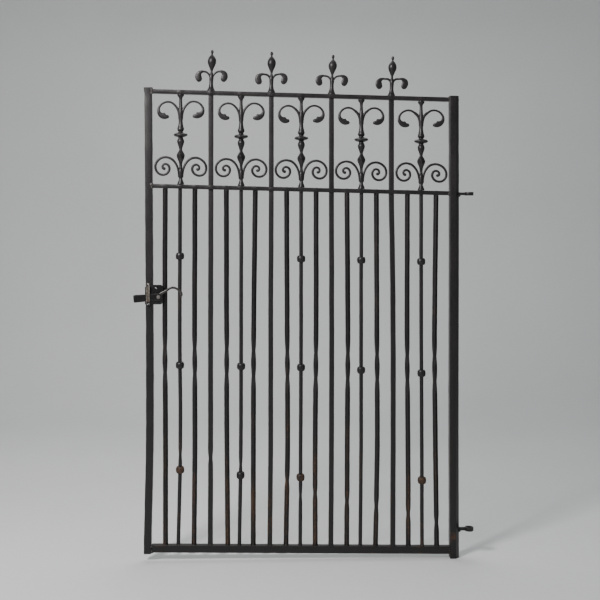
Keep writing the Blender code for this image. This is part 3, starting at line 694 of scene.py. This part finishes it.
def barStray(number, share):
    foot, third, second, head = barIron["strays"][number - 1]
    pairs = ((0.0, foot), (0.28, third), (0.61, second), (1.0, head))
    wander = barIron["wander"] * unevenness(number * 7.3, share * 9.0, 0.0)
    return (through(pairs, share) + wander * min(1.0, 6 * (1.0 - share), 6 * share)) / 1000


def barLoss(number, share, height):
    waist = barIron["waists"].get(number)
    if waist is None:
        return 0.0
    away = (share - waist) * height / barIron["waistLength"]
    return barIron["waistDepth"] * math.exp(-away * away) / (1 + 0.3 * max(0.0, away))


def makeBar(number, node):
    d = barIron
    kind = node.split("_")[0]
    x = middleOf(node).x
    foot = railHeight("bottom_rail", x, 1.0)
    shoulder = railHeight("middle_rail", x, -1.0)
    height = shoulder - foot
    top = railHeight("top_rail", x, 1.0) if kind == "through" else shoulder - 0.0002
    size = {"through": d["throughSize"], "twisted": d["twistedSize"], "ball": d["ballSize"]}[kind]
    corner = {"through": 0.16, "twisted": 0.22, "ball": 1.0}[kind]
    squareTurn = math.pi / 4 if kind == "twisted" else 0.0
    squareTurn += d["askew"] * unevenness(number * 1.7, 2, 5)

    def turnAt(share):
        if kind != "twisted":
            return squareTurn
        way = (share - d["twistMiddle"]) / d["twistLength"] + 0.5
        return squareTurn + math.pi * (0.0 if way < 0 else 1.0 if way > 1 else
                                       way * way * (3 - 2 * way) * 0.4 + way * 0.6)

    stations = []
    for z in spaced(foot, top, d["step"]):
        share = min((z - foot) / height, 1.0)
        half = size / 2 * (1 - barLoss(number, share, height))
        half += d["wear"] * unevenness(number * 3.1, 0, z * 30)
        stray = barStray(number, share)
        if kind == "through":
            stray *= min(1.0, (1.0 - share) * 8) if share < 1 else 0.0
        stations.append(station((x + stray, 0, z), half, half, turn=turnAt(share),
                                corner=corner))
    if kind != "through":
        last = stations[-1]
        bore = d["tenon"] / 2
        railTop = railHeight("middle_rail", x, 1.0)
        proud = boxes[node][1].z if kind == "ball" else railTop + 0.0006
        centre = Vector((x + barStray(number, 1.0), 0, 0))
        for z, half in ((shoulder, bore), (proud - 0.0006, bore), (proud, bore * 0.75)):
            stations.append(station(centre + upright * z, half, half, turn=last["turn"],
                                    corner=max(corner, 0.3)))
    name = "".join(w.capitalize() if i else w for i, w in enumerate(node.split("_")))
    place(name, sweep(name, stations, "frame" if kind == "through" else "bars",
                      3, 0.0005, 70.0),
          "black_paint" if kind == "through" else "rusty_paint", node)


knobIron = {
    "height": 0.023,
    "radius": 0.0143,
    "neck": 0.0074,
    "unlike": 0.05,            # share by which knobs differ in lean and size
    "steps": 14,
    "rust": {"knob1Lower": 1.0, "knob3Lower": 0.4, "knob5Lower": 0.5},
}


def makeKnob(node):
    d = knobIron
    number, row = node.split("_")[1:]
    centre = middleOf(node)
    barNode = "ball_bar_" + number
    barNumber = barOrder.index(barNode) + 1
    foot = railHeight("bottom_rail", centre.x, 1.0)
    share = (centre.z - foot) / (railHeight("middle_rail", centre.x, -1.0) - foot)
    centre.x += barStray(barNumber, share)
    lean = d["unlike"] * unevenness(barNumber, centre.z * 9, 4)
    swell = 1 + d["unlike"] * unevenness(barNumber * 3, centre.z * 13, 1)
    stations = []
    for i in range(d["steps"] + 1):
        angle = math.pi * (i / d["steps"] - 0.5)
        radius = d["neck"] + (d["radius"] * swell - d["neck"]) * max(0.0, math.cos(angle)) ** 0.62
        z = d["height"] / 2 * math.sin(angle)
        stations.append(station(centre + Vector((lean * z, 0, z)), radius, radius))
    name = "knob" + number + row.capitalize()
    knob = sweep(name, stations, "bars", 5, 0.0011, 95.0)
    rust = d["rust"].get(name, 0.0)
    mark(knob, "rusted", lambda vertex: rust)
    place(name, knob, "rusty_paint", node)


def makeBars():
    print("bars, knobs")
    for number, node in enumerate(barOrder, 1):
        makeBar(number, node)
    for node in sorted(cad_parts):
        if node.startswith("knob"):
            makeKnob(node)


makeBars()


# --- balusters, scrolls and finials

turnedIron = {
    # radius and distance down from the top rail, in mm
    "baluster": ((11.2, 0.2), (11.3, 3.0), (10.0, 6.2), (7.2, 10.0), (5.6, 14.0), (5.2, 19.0),
                 (5.4, 28.0), (6.3, 42.0), (8.0, 60.0), (7.7, 72.0), (6.9, 84.0), (7.0, 95.0),
                 (8.9, 107.0), (11.3, 115.0), (11.6, 118.5), (10.0, 122.5), (7.3, 126.5),
                 (7.5, 127.8), (11.4, 129.4), (18.2, 131.6), (22.6, 134.2), (23.6, 136.9),
                 (22.6, 139.6), (17.6, 142.2), (10.6, 144.2), (7.7, 145.9), (9.1, 149.5),
                 (11.7, 155.5), (12.0, 160.0), (10.6, 166.5), (7.4, 175.5), (5.4, 183.5),
                 (6.0, 188.0), (9.4, 195.5), (12.0, 202.5), (12.1, 208.0), (10.6, 215.0),
                 (7.2, 226.0), (5.1, 234.5), (5.0, 240.0), (5.4, 246.0)),
    "base": ((5.4, 24.0), (6.1, 18.5), (7.5, 13.5), (9.4, 8.5), (11.0, 4.0), (11.6, 1.6),
             (11.4, 0.3)),
    # radius and distance up from the top rail, in mm
    "finial": ((12.9, 0.3), (13.0, 2.6), (11.2, 6.0), (8.9, 11.0), (7.5, 17.0), (6.7, 24.0),
               (6.6, 33.0), (7.2, 42.0), (7.3, 48.0), (5.8, 55.5), (4.2, 61.5), (3.7, 66.0),
               (4.9, 71.5), (8.4, 79.5), (11.9, 87.5), (13.9, 94.5), (14.3, 100.0),
               (13.4, 106.0), (10.6, 112.5), (6.6, 118.5), (3.2, 122.3), (2.7, 124.0),
               (4.1, 127.5), (4.9, 130.5), (4.4, 134.2), (2.7, 137.2), (0.9, 138.6)),
    "facetMiddle": 206,        # of the flats hammered on the lower bulge, in mm down
    "facetReach": 26,
    # the finials: how far they lean for their height, how much lower their leaves hang and
    # how much shorter they are, in mm
    "leans": (0.034, 0.012, 0.046, 0.040),
    "leafDrops": (0.0, 3.5, 3.0, 7.5),
    "shorter": (0.0, 0.0, 4.5, 3.5),
}


def profile(pairs, step):
    ways = [(way, radius) for radius, way in pairs]
    return [(through(ways, way), way) for way in spaced(ways[0][0], ways[-1][0], step)]


def turnedBaluster(x, top, foot):
    d = turnedIron
    railTop = railHeight("top_rail", x, 1.0)
    stations = [station((x, 0, z), half, half)
                for z, half in ((railTop + 0.0006, 0.0028), (railTop, 0.0036), (top, 0.0036))]
    for radius, down in profile(d["baluster"], 1.6):
        facet = max(0.0, min(1.0, 2.2 - abs(down - d["facetMiddle"]) / d["facetReach"] * 2.2))
        corner = 1.0 - 0.72 * facet
        half = radius / 1000 * (1 - 0.14 * facet)
        turn = math.radians(100 * max(0.0, min(1.0, (down - 182) / 50)) - 5)
        stations.append(station((x, 0, top - down / 1000), half, half, turn=turn, corner=corner))
    stem = stations[-1]
    for radius, up in profile([(r, -u) for r, u in d["base"]], 1.5):
        half = radius / 1000
        stations.append(station((x, 0, foot - up / 1000), half, half, turn=stem["turn"]))
    return stations


scrollIron = {
    # the arm rises from its foot to the crown, in mm from the stem's middle and down from the
    # top rail, and from there bends round at a radius for each angle that it has turned;
    # half widths go by the way along: 0 at the foot, 1 at the crown and 2 at the end
    "upper": {
        "rise": ((3.4, -84.0), (4.8, -68.0), (8.8, -53.0), (15.8, -41.0), (25.0, -31.4),
                 (34.0, -26.2), (43.0, -24.6)),
        "bends": ((0, 36), (35, 33), (90, 25), (135, 22.5), (180, 24), (212, 34)),
        "turn": 196,
        "widths": ((0, 4.5), (0.3, 4.2), (0.6, 3.7), (1, 3.4), (1.30, 3.7), (1.46, 5.0),
                   (1.60, 7.6), (1.74, 10.0), (1.86, 10.8), (1.94, 9.4), (2, 6.4)),
        "depth": 5.6,
        "fuller": 0.8,         # share of its widening that goes to the inside of the curl
    },
    "lower": {
        "rise": ((5.2, -279.0), (6.6, -264.0), (9.6, -249.0), (15.4, -235.0), (24.0, -223.4),
                 (35.0, -215.4), (48.0, -212.2)),
        "bends": ((0, 41), (45, 36), (90, 28), (135, 24.5), (180, 24.2), (225, 22.5), (270, 18),
                  (315, 13.5), (360, 11.2), (405, 9.8), (450, 7.6), (495, 5.4), (560, 3.4)),
        "turn": 540,
        "widths": ((0, 3.6), (0.35, 3.7), (0.7, 4.1), (1, 4.1), (1.3, 4.0), (1.5, 4.2),
                   (1.8, 3.9), (1.92, 4.6), (2, 5.2)),
        "depth": 4.4,
        "fuller": 0.0,
    },
    # up from the top rail
    "leaf": {
        "rise": ((3.0, 44.0), (5.0, 50.0), (9.4, 56.6), (15.5, 62.0), (22.5, 65.0),
                 (29.5, 65.8)),
        "bends": ((0, 20), (30, 17), (70, 15.5), (110, 18), (150, 26)),
        "turn": 126,
        "widths": ((0, 3.4), (0.5, 3.3), (0.85, 3.4), (1.0, 3.9), (1.14, 5.4), (1.32, 8.2),
                   (1.50, 10.2), (1.66, 11.0), (1.84, 11.2), (2, 10.2)),
        "depth": 4.4,
        "fuller": 0.35,
    },
    "step": 2.0,               # mm along the scroll
    # how much lower the upper arms stand in each panel, in mm
    "drops": (0.0, 0.5, 3.2, 5.0, 7.1),
}


def scrollStations(shape, x, base, hand):
    d = scrollIron[shape]
    line = [(px, pz, i / 25) for i, (px, pz) in enumerate(threaded(d["rise"], 25))]
    px, pz = line[-1][:2]
    turn, turned = math.radians(d["turn"]), 0.0
    while turned < turn:
        radius = through(d["bends"], math.degrees(turned))
        bend = scrollIron["step"] / radius
        middle = turned + bend / 2
        px += math.cos(middle) * scrollIron["step"]
        pz -= math.sin(middle) * scrollIron["step"]
        turned += bend
        line.append((px, pz, 1 + min(1.0, turned / turn)))
    stations = []
    for i, (px, pz, way) in enumerate(line):
        before, after = line[max(i - 1, 0)], line[min(i + 1, len(line) - 1)]
        along = Vector((after[0] - before[0], 0, after[1] - before[1])).normalized()
        side = Vector((-along.z * hand, 0, along.x))
        half = through(d["widths"], way)
        inwards = max(0.0, half - through(d["widths"], 1)) * d["fuller"] * (way > 1)
        px, pz = px + along.z * inwards, pz - along.x * inwards
        stations.append(station((x + hand * px / 1000, 0, base + pz / 1000), half / 1000,
                                min(half, d["depth"]) / 1000, side=side, corner=0.75))
    # a rounded end
    last = stations[-1]
    onward = (last["point"] - stations[-2]["point"]).normalized()
    for share in (0.5, 0.85, 1.0):
        end = dict(last, point=last["point"] + onward * (last["wide"] * 0.9 * share))
        end["wide"] = last["wide"] * math.sqrt(max(0.02, 1 - share ** 2))
        end["deep"] = last["deep"] * math.sqrt(max(0.02, 1 - share ** 2))
        stations.append(end)
    return stations


# the same forging again at x, a little different each time, as hand work is; its arms hang
# lower by a drop, the more the further they are from the stem
def forgedCopy(mesh, x, base, number, sway=0.0011, drop=0.0, within=(-1, 1), shear=slope):
    copy = mesh.copy()
    points = np.zeros(len(copy.vertices) * 3)
    copy.vertices.foreach_get("co", points)
    points = points.reshape(-1, 3)
    for point in points:
        far = min(1.0, abs(point[0]) / 0.05)
        wobble = noise.noise_vector(Vector((point[0] * 9, number * 5.7, point[2] * 9)))
        if within[0] < point[2] < within[1]:
            point[2] -= drop * min(1.0, abs(point[0]) / 0.022) ** 1.5
        point[0] += wobble.x * sway * 2 * far
        point[1] += wobble.y * sway * far
        point[2] += base - shear * point[0] + wobble.z * sway * 2 * far
    points[:, 0] += x
    copy.vertices.foreach_set("co", points.ravel())
    copy.update()
    return copy


def makePanels():
    print("balusters, scrolls")
    for number in range(1, 6):
        node = f"baluster_{number}"
        x = middleOf(node).x
        top, foot = railHeight("top_rail", x, -1.0), railHeight("middle_rail", x, 1.0)
        if number == 1:
            core = sweep("balusterCore", turnedBaluster(x, top, foot), "frame", 6, 0.0003)
            core.transform(Matrix.Translation((-x, 0, -top)))
            arms = [sweep(f"upperScroll{hand}", scrollStations("upper", 0, 0, hand), "frame",
                          3, 0.0005, 80.0) for hand in (-1, 1)]
            baluster = weldUp("baluster", [core, *arms])
            arms = [sweep(f"lowerScroll{hand}", scrollStations("lower", 0, 0, hand), "frame",
                          3, 0.0004, 80.0) for hand in (-1, 1)]
            collar = [station((0, 0, z / 1000), r / 1000, r / 1000 * 0.92)
                      for z, r in ((-250, 5.6), (-252, 7.2), (-258, 8.0), (-268, 8.1),
                                   (-277, 7.8), (-281, 7.0), (-283, 5.6))]
            collar = sweep("scrollCollar", collar, "frame", 5, 0.0008, 120.0)
            scrolls = weldUp("scrolls", [collar, *arms])
        copy = forgedCopy(baluster, x, top, number, drop=scrollIron["drops"][number - 1] / 1000,
                          within=(-0.125, 0.0), shear=0.0)
        place(f"baluster{number}", copy, "black_paint", node)
        place(f"lowerScrolls{number}", forgedCopy(scrolls, x, top, number + 9), "black_paint",
              f"lower_scrolls_{number}")
    for mesh in (baluster, scrolls):
        bpy.data.meshes.remove(mesh)


def makeFinials():
    print("finials")
    d = turnedIron
    stations = [station((0, 0, up / 1000), radius / 1000, radius / 1000)
                for radius, up in profile(d["finial"], 1.6)]
    core = sweep("finialCore", stations, "frame", 6, 0.0004)
    leaves = [sweep(f"leaf{hand}", scrollStations("leaf", 0, 0, hand), "frame", 4, 0.0005, 90.0)
              for hand in (-1, 1)]
    finial = weldUp("finial", [core, *leaves])
    for number in range(1, 5):
        x = middleOf(f"finial_{number}").x
        foot = railHeight("top_rail", x, 1.0)
        copy = forgedCopy(finial, x, foot, number + 20, 0.0009, d["leafDrops"][number - 1] / 1000,
                          (0.030, 0.078), 0.0)
        lean, short = d["leans"][number - 1], d["shorter"][number - 1] / 1000
        for vertex in copy.vertices:      # each stands a little out of true
            up = max(0.0, vertex.co.z - foot)
            vertex.co.x += lean * up
            vertex.co.z -= short * max(0.0, min(1.0, (up - 0.050) / 0.070))
        place(f"finial{number}", copy, "black_paint", f"finial_{number}")
    bpy.data.meshes.remove(finial)


makePanels()
makeFinials()


# --- weld beads

weldIron = {
    "radius": 0.0034,
    "lumps": 0.0016,           # depth of their lumps
    "lumpScale": 210.0,
    "seed": 4,
    "aside": 0.0035,           # from a bar's middle, at most
    "sunk": 0.0012,            # into the bar's front
    "seam": (-0.9, -0.2, 0.5, 1.0),       # down a rail's end, 1 at its top
}


def makeWeldTree():
    group, tree, given = newTree("weldBeads", [
        ("Places", "NodeSocketGeometry", None), ("Radius", "NodeSocketFloat", 0.003),
        ("Lump Depth", "NodeSocketFloat", 0.001), ("Lump Scale", "NodeSocketFloat", 200.0),
        ("Seed", "NodeSocketInt", 0), ("Finish", "NodeSocketMaterial", None)])
    bead = tree.add("GeometryNodeMeshIcoSphere", sockets={"Radius": given["Radius"],
                                                          "Subdivisions": 2})
    size = tree.add("FunctionNodeRandomValue", {"data_type": "FLOAT_VECTOR"},
                    {0: (1.1, 0.55, 0.6), 1: (1.9, 0.95, 1.1), "Seed": given["Seed"]})
    beads = tree.add("GeometryNodeInstanceOnPoints", sockets={
        "Points": given["Places"], "Instance": bead, "Scale": size})
    realised = tree.add("GeometryNodeRealizeInstances", sockets={0: beads})
    place = tree.add("GeometryNodeInputPosition")
    skin = tree.add("ShaderNodeTexNoise", sockets={
        "Vector": place, "Scale": given["Lump Scale"], "Detail": 1.0})
    lumpy = tree.add("GeometryNodeSetPosition", sockets={
        "Geometry": realised,
        "Offset": tree.vector("SCALE", tree.add("GeometryNodeInputNormal"),
                              scale=(skin - 0.5) * given["Lump Depth"])})
    finishTree(group, tree, lumpy, given["Finish"])
    return group


def makeWelds():
    print("weld beads")
    d = weldIron
    spots = []
    for number, node in enumerate(barOrder, 1):
        x, half = middleOf(node).x, barIron["throughSize"] / 2
        foot = railHeight("bottom_rail", x, 1.0)
        away = d["aside"] * unevenness(number * 2.3, 1, 1)
        spots.append((x + barStray(number, 0.0) + away, -half + d["sunk"], foot + 0.0005))
        if node.startswith("twisted"):
            spots.append((x - away, -half + 0.0006, railHeight("middle_rail", x, -1.0) - 0.0006))
    for rail in ("top_rail", "middle_rail", "bottom_rail"):
        front = -railSize(rail)[1] / 2
        for x in (innerLeft, innerRight):
            for share in d["seam"]:
                spots.append((x, front + 0.0008, railHeight(rail, x, share)))
    mesh = bpy.data.meshes.new("welds")
    mesh.from_pydata(spots, [], [])
    work = addObject("welds", mesh)
    modifier = work.modifiers.new("beads", "NODES")
    modifier.node_group = makeWeldTree()
    setInputs(modifier, {"Radius": d["radius"], "Lump Depth": d["lumps"],
                         "Lump Scale": d["lumpScale"], "Seed": d["seed"],
                         "Finish": finishes["weld"]})
    place("weldBeads", plainMesh(work, "weldBeads"), "black_paint")


makeWelds()


# --- hinge eyes

eyeIron = {
    "radius": 0.015,
    "hole": 0.0083,
    "height": 0.012,
    "lip": 0.0011,             # rounding of the ring's edges
    "shankWidth": 0.014,
    "shankHeight": 0.0105,
    "shankEnd": 0.009,         # from the hinge axis
    "weldRadius": 0.0042,
}


def makeEye(name, node):
    d = eyeIron
    low, high = boxes[node]
    axis = Vector((high.x - d["radius"], 0, high.z - d["height"]))
    radius, hole, lip, height = d["radius"], d["hole"], d["lip"], d["height"]
    ring = [station(axis + upright * z, radius - inset, radius - inset)
            for z, inset in ((0.0, lip), (lip * 0.3, lip * 0.4), (lip, 0.0001),
                             (height * 0.35, 0.0), (height * 0.65, 0.0), (height - lip, 0.0001),
                             (height - lip * 0.3, lip * 0.4), (height, lip))]
    bore = [station(axis + upright * z, hole + flare, hole + flare)
            for z, flare in ((-0.004, 0.0012), (0.0, 0.0011), (lip, 0.0), (height - lip, 0.0),
                             (height, 0.0011), (height + 0.004, 0.0012))]
    middle = axis + upright * (height / 2)
    shank = []
    for x in spaced(low.x - 0.0008, -d["shankEnd"], 0.0022):
        share = (x - low.x) / (-d["shankEnd"] - low.x)
        waist = 1 - 0.10 * math.sin(math.pi * max(0.0, min(1.0, share)))
        shank.append(station((x, 0, middle.z), d["shankHeight"] / 2 * waist,
                             d["shankWidth"] / 2 * waist, side=upright, corner=0.30))
    under = middle.z - d["shankHeight"] / 2
    weld = []
    for y in spaced(-d["shankWidth"] / 2, d["shankWidth"] / 2, 0.0011):
        edge = 1 - (abs(y) / (d["shankWidth"] / 2 + 0.0006)) ** 4
        bead = d["weldRadius"] * (0.9 + 0.10 * math.cos(y * 2200)) * math.sqrt(edge)
        weld.append(station((low.x + 0.0020, y, under - 0.0010), bead, bead, side=across,
                            depthWay=upright))
    parts = [sweep(name + part, stations, "eyes", steps, dents, 90.0)
             for part, stations, steps, dents in (("Ring", ring, 8, 0.0006),
                                                  ("Shank", shank, 3, 0.0006),
                                                  ("Weld", weld, 4, 0.0008))]
    hole = sweep(name + "Bore", bore, "eyes", 8, 0.0)
    place(name, weldUp(name, parts, [hole]), "rusty_paint", node)


def makeEyes():
    print("hinge eyes")
    makeEye("hingeEyeLower", "hinge_eye_lower")
    makeEye("hingeEyeUpper", "hinge_eye_upper")


makeEyes()


# --- latch

latchIron = {
    "plateCorner": 0.0075,
    "plateEdge": 0.0009,       # rounding of the plate's edges
    "plateScrew": (-0.0085, 0.0300),      # across and up from the pivot
    "leverHeight": 0.024,
    "tongueHeight": 0.026,
    "tongueReach": 0.0835,
    "tongueCorner": 0.0045,
    "tongueWaist": 0.55,       # share of its reach at which it starts to widen
    "leverEdge": 0.0011,
    "droop": math.radians(4),
    "bore": 0.0043,
    # across and up from the pivot and half the thickness, in mm
    "handle": ((1.5, 1.5, 5.2), (5.0, 6.8, 5.2), (11.0, 11.4, 4.9), (17.5, 14.4, 4.5),
               (24.0, 17.4, 4.2), (30.0, 21.0, 4.0), (36.0, 24.6, 3.8), (42.5, 27.2, 3.8),
               (49.0, 28.0, 3.8), (54.5, 27.2, 3.8), (59.5, 25.0, 3.8), (65.0, 21.8, 3.9),
               (69.6, 17.8, 4.1), (73.3, 13.4, 4.4), (75.7, 8.4, 4.8), (76.2, 4.0, 5.1),
               (75.8, 0.0, 4.8), (75.5, -2.6, 3.4), (75.3, -4.0, 1.6)),
    "keeperThickness": 0.003,
    "keeperFoot": 0.0125,
    "keeperBend": 0.0022,
    "keeperRust": (0.010, 0.004),         # fades over this, below this over the bolt's foot
    "boltHead": ((0.0, 0.0), (1.0, 0.0), (1.0, 0.20), (0.96, 0.42), (0.84, 0.68), (0.62, 0.88),
                 (0.34, 0.98), (0.0, 1.0)),          # shares of its radius and height
    "boltRadius": 0.0068,
    "boltHeight": 0.0045,
    "shank": 0.004,
    "nutAcross": 0.013,
    "screwRadius": 0.0042,
    "screwHeight": 0.0018,
    "screwShank": 0.0022,
    "slotWidth": 0.0011,
    "slotDepth": 0.0009,
}


# points of an arc about (x, z); it starts and ends at numbers of quarter turns
def arc(x, z, radius, start, end, steps):
    angles = [math.pi / 2 * (start + (end - start) * i / steps) for i in range(steps + 1)]
    return [(x + radius * math.cos(a), z + radius * math.sin(a)) for a in angles]


def softened(name, mesh, width, segments=3):
    work = addObject(name, mesh)
    change = work.modifiers.new("edges", "BEVEL")
    change.width, change.segments = width, segments
    change.limit_method, change.angle_limit = "ANGLE", math.radians(35)
    change.harden_normals = False
    ready = plainMesh(work, name)
    mark(ready, "ridge", lambda v: max(0.0, 1 - abs(abs(v.normal.y) - 0.6) / 0.28))
    return ready


# a slab between two depths with an outline of points across and up from a centre
def slab(name, outline, front, back, centre, finish):
    bm = bmesh.new()
    rings = [[bm.verts.new((centre.x + x, y, centre.z + z)) for x, z in outline]
             for y in (front, back)]
    bm.faces.new(rings[0])
    bm.faces.new(rings[1][::-1])
    for i in range(len(outline)):
        j = (i + 1) % len(outline)
        bm.faces.new((rings[0][i], rings[0][j], rings[1][j], rings[1][i]))
    bmesh.ops.recalc_face_normals(bm, faces=bm.faces)
    mesh = meshFrom(bm, name)
    mesh.materials.append(finishes[finish])
    return mesh


def roundHead(name, seat, radius, height, shape, finish, sides=7):
    stations = [station(seat - inward * (height * up), radius * wide, radius * wide,
                        depthWay=upright) for wide, up in shape if wide > 0]
    return sweep(name, stations, finish, sides, 0.0002, 200.0)


def pinAlong(name, centre, front, back, radius, finish):
    stations = [station((centre.x, y, centre.z), r, r, depthWay=upright)
                for y, r in ((front, radius * 0.98), (back - 0.0007, radius),
                             (back, radius * 0.75))]
    return sweep(name, stations, finish, 5, 0.0)


def slotTool(name, centre, seat, height, turn, reach=0.006):
    d = latchIron
    bm = bmesh.new()
    bmesh.ops.create_cube(bm, size=1.0)
    for v in bm.verts:
        v.co = Vector((v.co.x * reach * 2, v.co.y * d["slotDepth"] * 2, v.co.z * d["slotWidth"]))
    bmesh.ops.rotate(bm, verts=bm.verts, cent=(0, 0, 0), matrix=Matrix.Rotation(turn, 3, "Y"))
    bmesh.ops.translate(bm, verts=bm.verts, vec=(centre.x, seat - height, centre.z))
    return meshFrom(bm, name)


def makeScrew(name, centre, seat, length, slotTurn, finish, slotName, *nodes):
    d = latchIron
    head = roundHead(name + "Head", Vector((centre.x, seat, centre.z)), d["screwRadius"],
                     d["screwHeight"], ((0.93, -0.0), (1.0, 0.12), (0.97, 0.38), (0.85, 0.68),
                                        (0.62, 0.90), (0.30, 1.0)), finish)
    shank = pinAlong(name + "Shank", centre, seat - 0.0005, seat + length, d["screwShank"],
                     finish)
    slot = slotTool(name + "Slot", centre, seat, d["screwHeight"], slotTurn)
    place(name, weldUp(name, [head, shank], [slot]), slotName, *nodes)


def makeLatchPlate(pivot):
    d = latchIron
    low, high = boxes["latch_plate"]
    left, right = low.x - pivot.x, high.x - pivot.x
    bottom, top, corner = low.z - pivot.z, high.z - pivot.z, d["plateCorner"]
    strap = boxes["keeper_strap"]
    beside = strap[1].x + 0.0006 - pivot.x
    shoulder = strap[1].z - d["keeperFoot"] - 0.0003 - pivot.z
    outline = [(left, bottom), (right - corner, bottom), (right, bottom + corner),
               (right, top - corner), (right - corner, top), (beside, top),
               (beside, shoulder), (left, shoulder)]
    plate = slab("plate", outline, low.y, high.y, pivot, "latch")
    holes = [pinAlong("hole", centre, low.y - 0.002, high.y + 0.002, radius, "latch")
             for centre, radius in ((pivot, d["bore"]),
                                    (middleOf("keeper_screw_lower"), d["screwShank"] + 0.0003))]
    plate = weldUp("latchPlate", [plate], holes)
    place("latchPlate", softened("latchPlate", plate, d["plateEdge"]), "latch_black",
          "latch_plate")
    across, up = d["plateScrew"]
    centre = Vector((pivot.x + across, 0, pivot.z + up))
    makeScrew("plateScrew", centre, low.y, 0.0035, 0.5, "bars", "latch_black")


def makeLever(pivot):
    d = latchIron
    low, high = boxes["latch_lever"]
    half, tip = d["leverHeight"] / 2, d["tongueHeight"] / 2
    reach, corner = d["tongueReach"], d["tongueCorner"]
    waist = reach * d["tongueWaist"]
    outline = [(-reach + corner, -tip), (-waist, -half)]
    outline += arc(0, 0, half, -1, 1, 16)
    outline.append((-waist, half))
    outline += arc(-reach + corner, tip - corner, corner, 1, 2, 5)
    outline += arc(-reach + corner, -tip + corner, corner, 2, 3, 5)[:-1]
    blade = slab("blade", outline, low.y, high.y, pivot, "latch")
    blade = softened("blade", blade, d["leverEdge"])
    middle = (low.y + high.y) / 2
    thick = (high.y - low.y) / 2 - 0.0003
    fine = [(Vector((pivot.x + x / 1000, middle, pivot.z + z / 1000)), radius / 1000)
            for x, z, radius in threaded(d["handle"], 4 * (len(d["handle"]) - 1))]
    ways = headings([point for point, radius in fine])
    stations = [station(point, radius, min(radius, thick), side=Vector((-along.z, 0, along.x)),
                        corner=0.85) for (point, radius), along in zip(fine, ways)]
    handle = sweep("handle", stations, "latch", 4, 0.0003, 120.0)
    bore = pinAlong("leverBore", pivot, low.y - 0.002, high.y + 0.002, d["bore"], "latch")
    lever = weldUp("latchLever", [blade, handle], [bore])
    turn = Matrix.Translation(pivot) @ Matrix.Rotation(-d["droop"], 4, "Y")
    lever.transform(turn @ Matrix.Translation(-pivot))
    place("latchLever", lever, "latch_black", "latch_lever", body="latch")


def makePivot(pivot):
    d = latchIron
    low, high = boxes["pivot_bolt"]
    seat = low.y + d["boltHeight"]
    head = roundHead("boltHead", Vector((pivot.x, seat, pivot.z)), d["boltRadius"],
                     d["boltHeight"], d["boltHead"], "steel")
    shank = pinAlong("boltShank", pivot, seat - 0.0005, high.y, d["shank"], "steel")
    place("pivotBolt", weldUp("pivotBolt", [head, shank]), "worn_steel", "pivot_bolt")

    low, high = boxes["pivot_nut"]
    reach = d["nutAcross"] / 2 / math.cos(math.pi / 6)
    outline = [(reach * math.cos(math.radians(a)), reach * math.sin(math.radians(a)))
               for a in range(7, 367, 60)]
    nut = slab("nut", outline, low.y, high.y, pivot, "strap")
    hole = pinAlong("nutHole", pivot, low.y - 0.002, high.y + 0.002, d["shank"] + 0.0002, "strap")
    nut = softened("pivotNut", weldUp("nut", [nut], [hole]), 0.0006, 2)
    place("pivotNut", nut, "rusty_strap", "pivot_nut")


# a bent strip: its corner points in depth and height, each rounded
def bentStrip(corners, bend, steps=5):
    line = [corners[0]]
    for before, corner, after in zip(corners, corners[1:], corners[2:]):
        a, b = (before - corner).normalized(), (after - corner).normalized()
        start, end = corner + a * bend, corner + b * bend
        for i in range(steps + 1):
            t = i / steps
            line.append(start * (1 - t) ** 2 + corner * 2 * t * (1 - t) + end * t ** 2)
    line.append(corners[-1])
    even = [line[0]]
    for point in line[1:]:
        start = even[-1]
        count = max(1, round((point - start).length / 0.002))
        even += [start.lerp(point, i / count) for i in range(1, count + 1)]
    return even


def makeKeeper():
    d = latchIron
    low, high = boxes["keeper_strap"]
    thick = d["keeperThickness"]
    half = (high.x - low.x) / 2
    x = (low.x + high.x) / 2
    plateFront = boxes["latch_plate"][0].y - 0.0003
    inLow, inHigh = low.z + d["keeperFoot"], high.z - d["keeperFoot"]
    depths = (plateFront - thick / 2, low.y + thick / 2, high.y - thick / 2)
    bottom, top = inLow - thick / 2, inHigh + thick / 2
    corners = [Vector((x, y, z)) for y, z in (
        (depths[0], low.z), (depths[0], bottom), (depths[1], bottom), (depths[1], top),
        (depths[2], top), (depths[2], high.z))]
    line = bentStrip(corners, d["keeperBend"])
    stations = [station(point, half, thick / 2, depthWay=Vector((0, along.z, -along.y)),
                        corner=0.18) for point, along in zip(line, headings(line))]
    strap = sweep("strap", stations, "strap", 3, 0.0004, 110.0)
    holes = [pinAlong("keeperHole", middleOf(node), low.y - 0.002, high.y + 0.002,
                      d["screwShank"] + 0.0003, "strap")
             for node in ("keeper_screw_upper", "keeper_screw_lower")]
    strap = weldUp("keeperStrap", [strap], holes)
    lower, middle = d["keeperRust"]
    level = boxes["pivot_bolt"][0].z
    mark(strap, "kept", lambda v: 1.0 if not inLow - 0.001 < v.co.z < inHigh + 0.001 else 0.0)
    mark(strap, "rusted", lambda v: max(0.0, min(1.0, (middle - v.co.z + level) / lower)))
    place("keeperStrap", strap, "rusty_strap", "keeper_strap")
    for name, turn, finish in (("upper", 0.9, "strap"), ("lower", -0.35, "bars")):
        node = "keeper_screw_" + name
        low, high = boxes[node]
        makeScrew("keeperScrew" + name.capitalize(), middleOf(node), low.y + d["screwHeight"],
                  high.y - low.y - d["screwHeight"], turn, finish, "rusty_strap", node)


def makeLatch():
    print("latch")
    pivot = middleOf("pivot_bolt")
    pivot.y = 0
    makeLatchPlate(pivot)
    makeLever(pivot)
    makePivot(pivot)
    makeKeeper()


makeLatch()
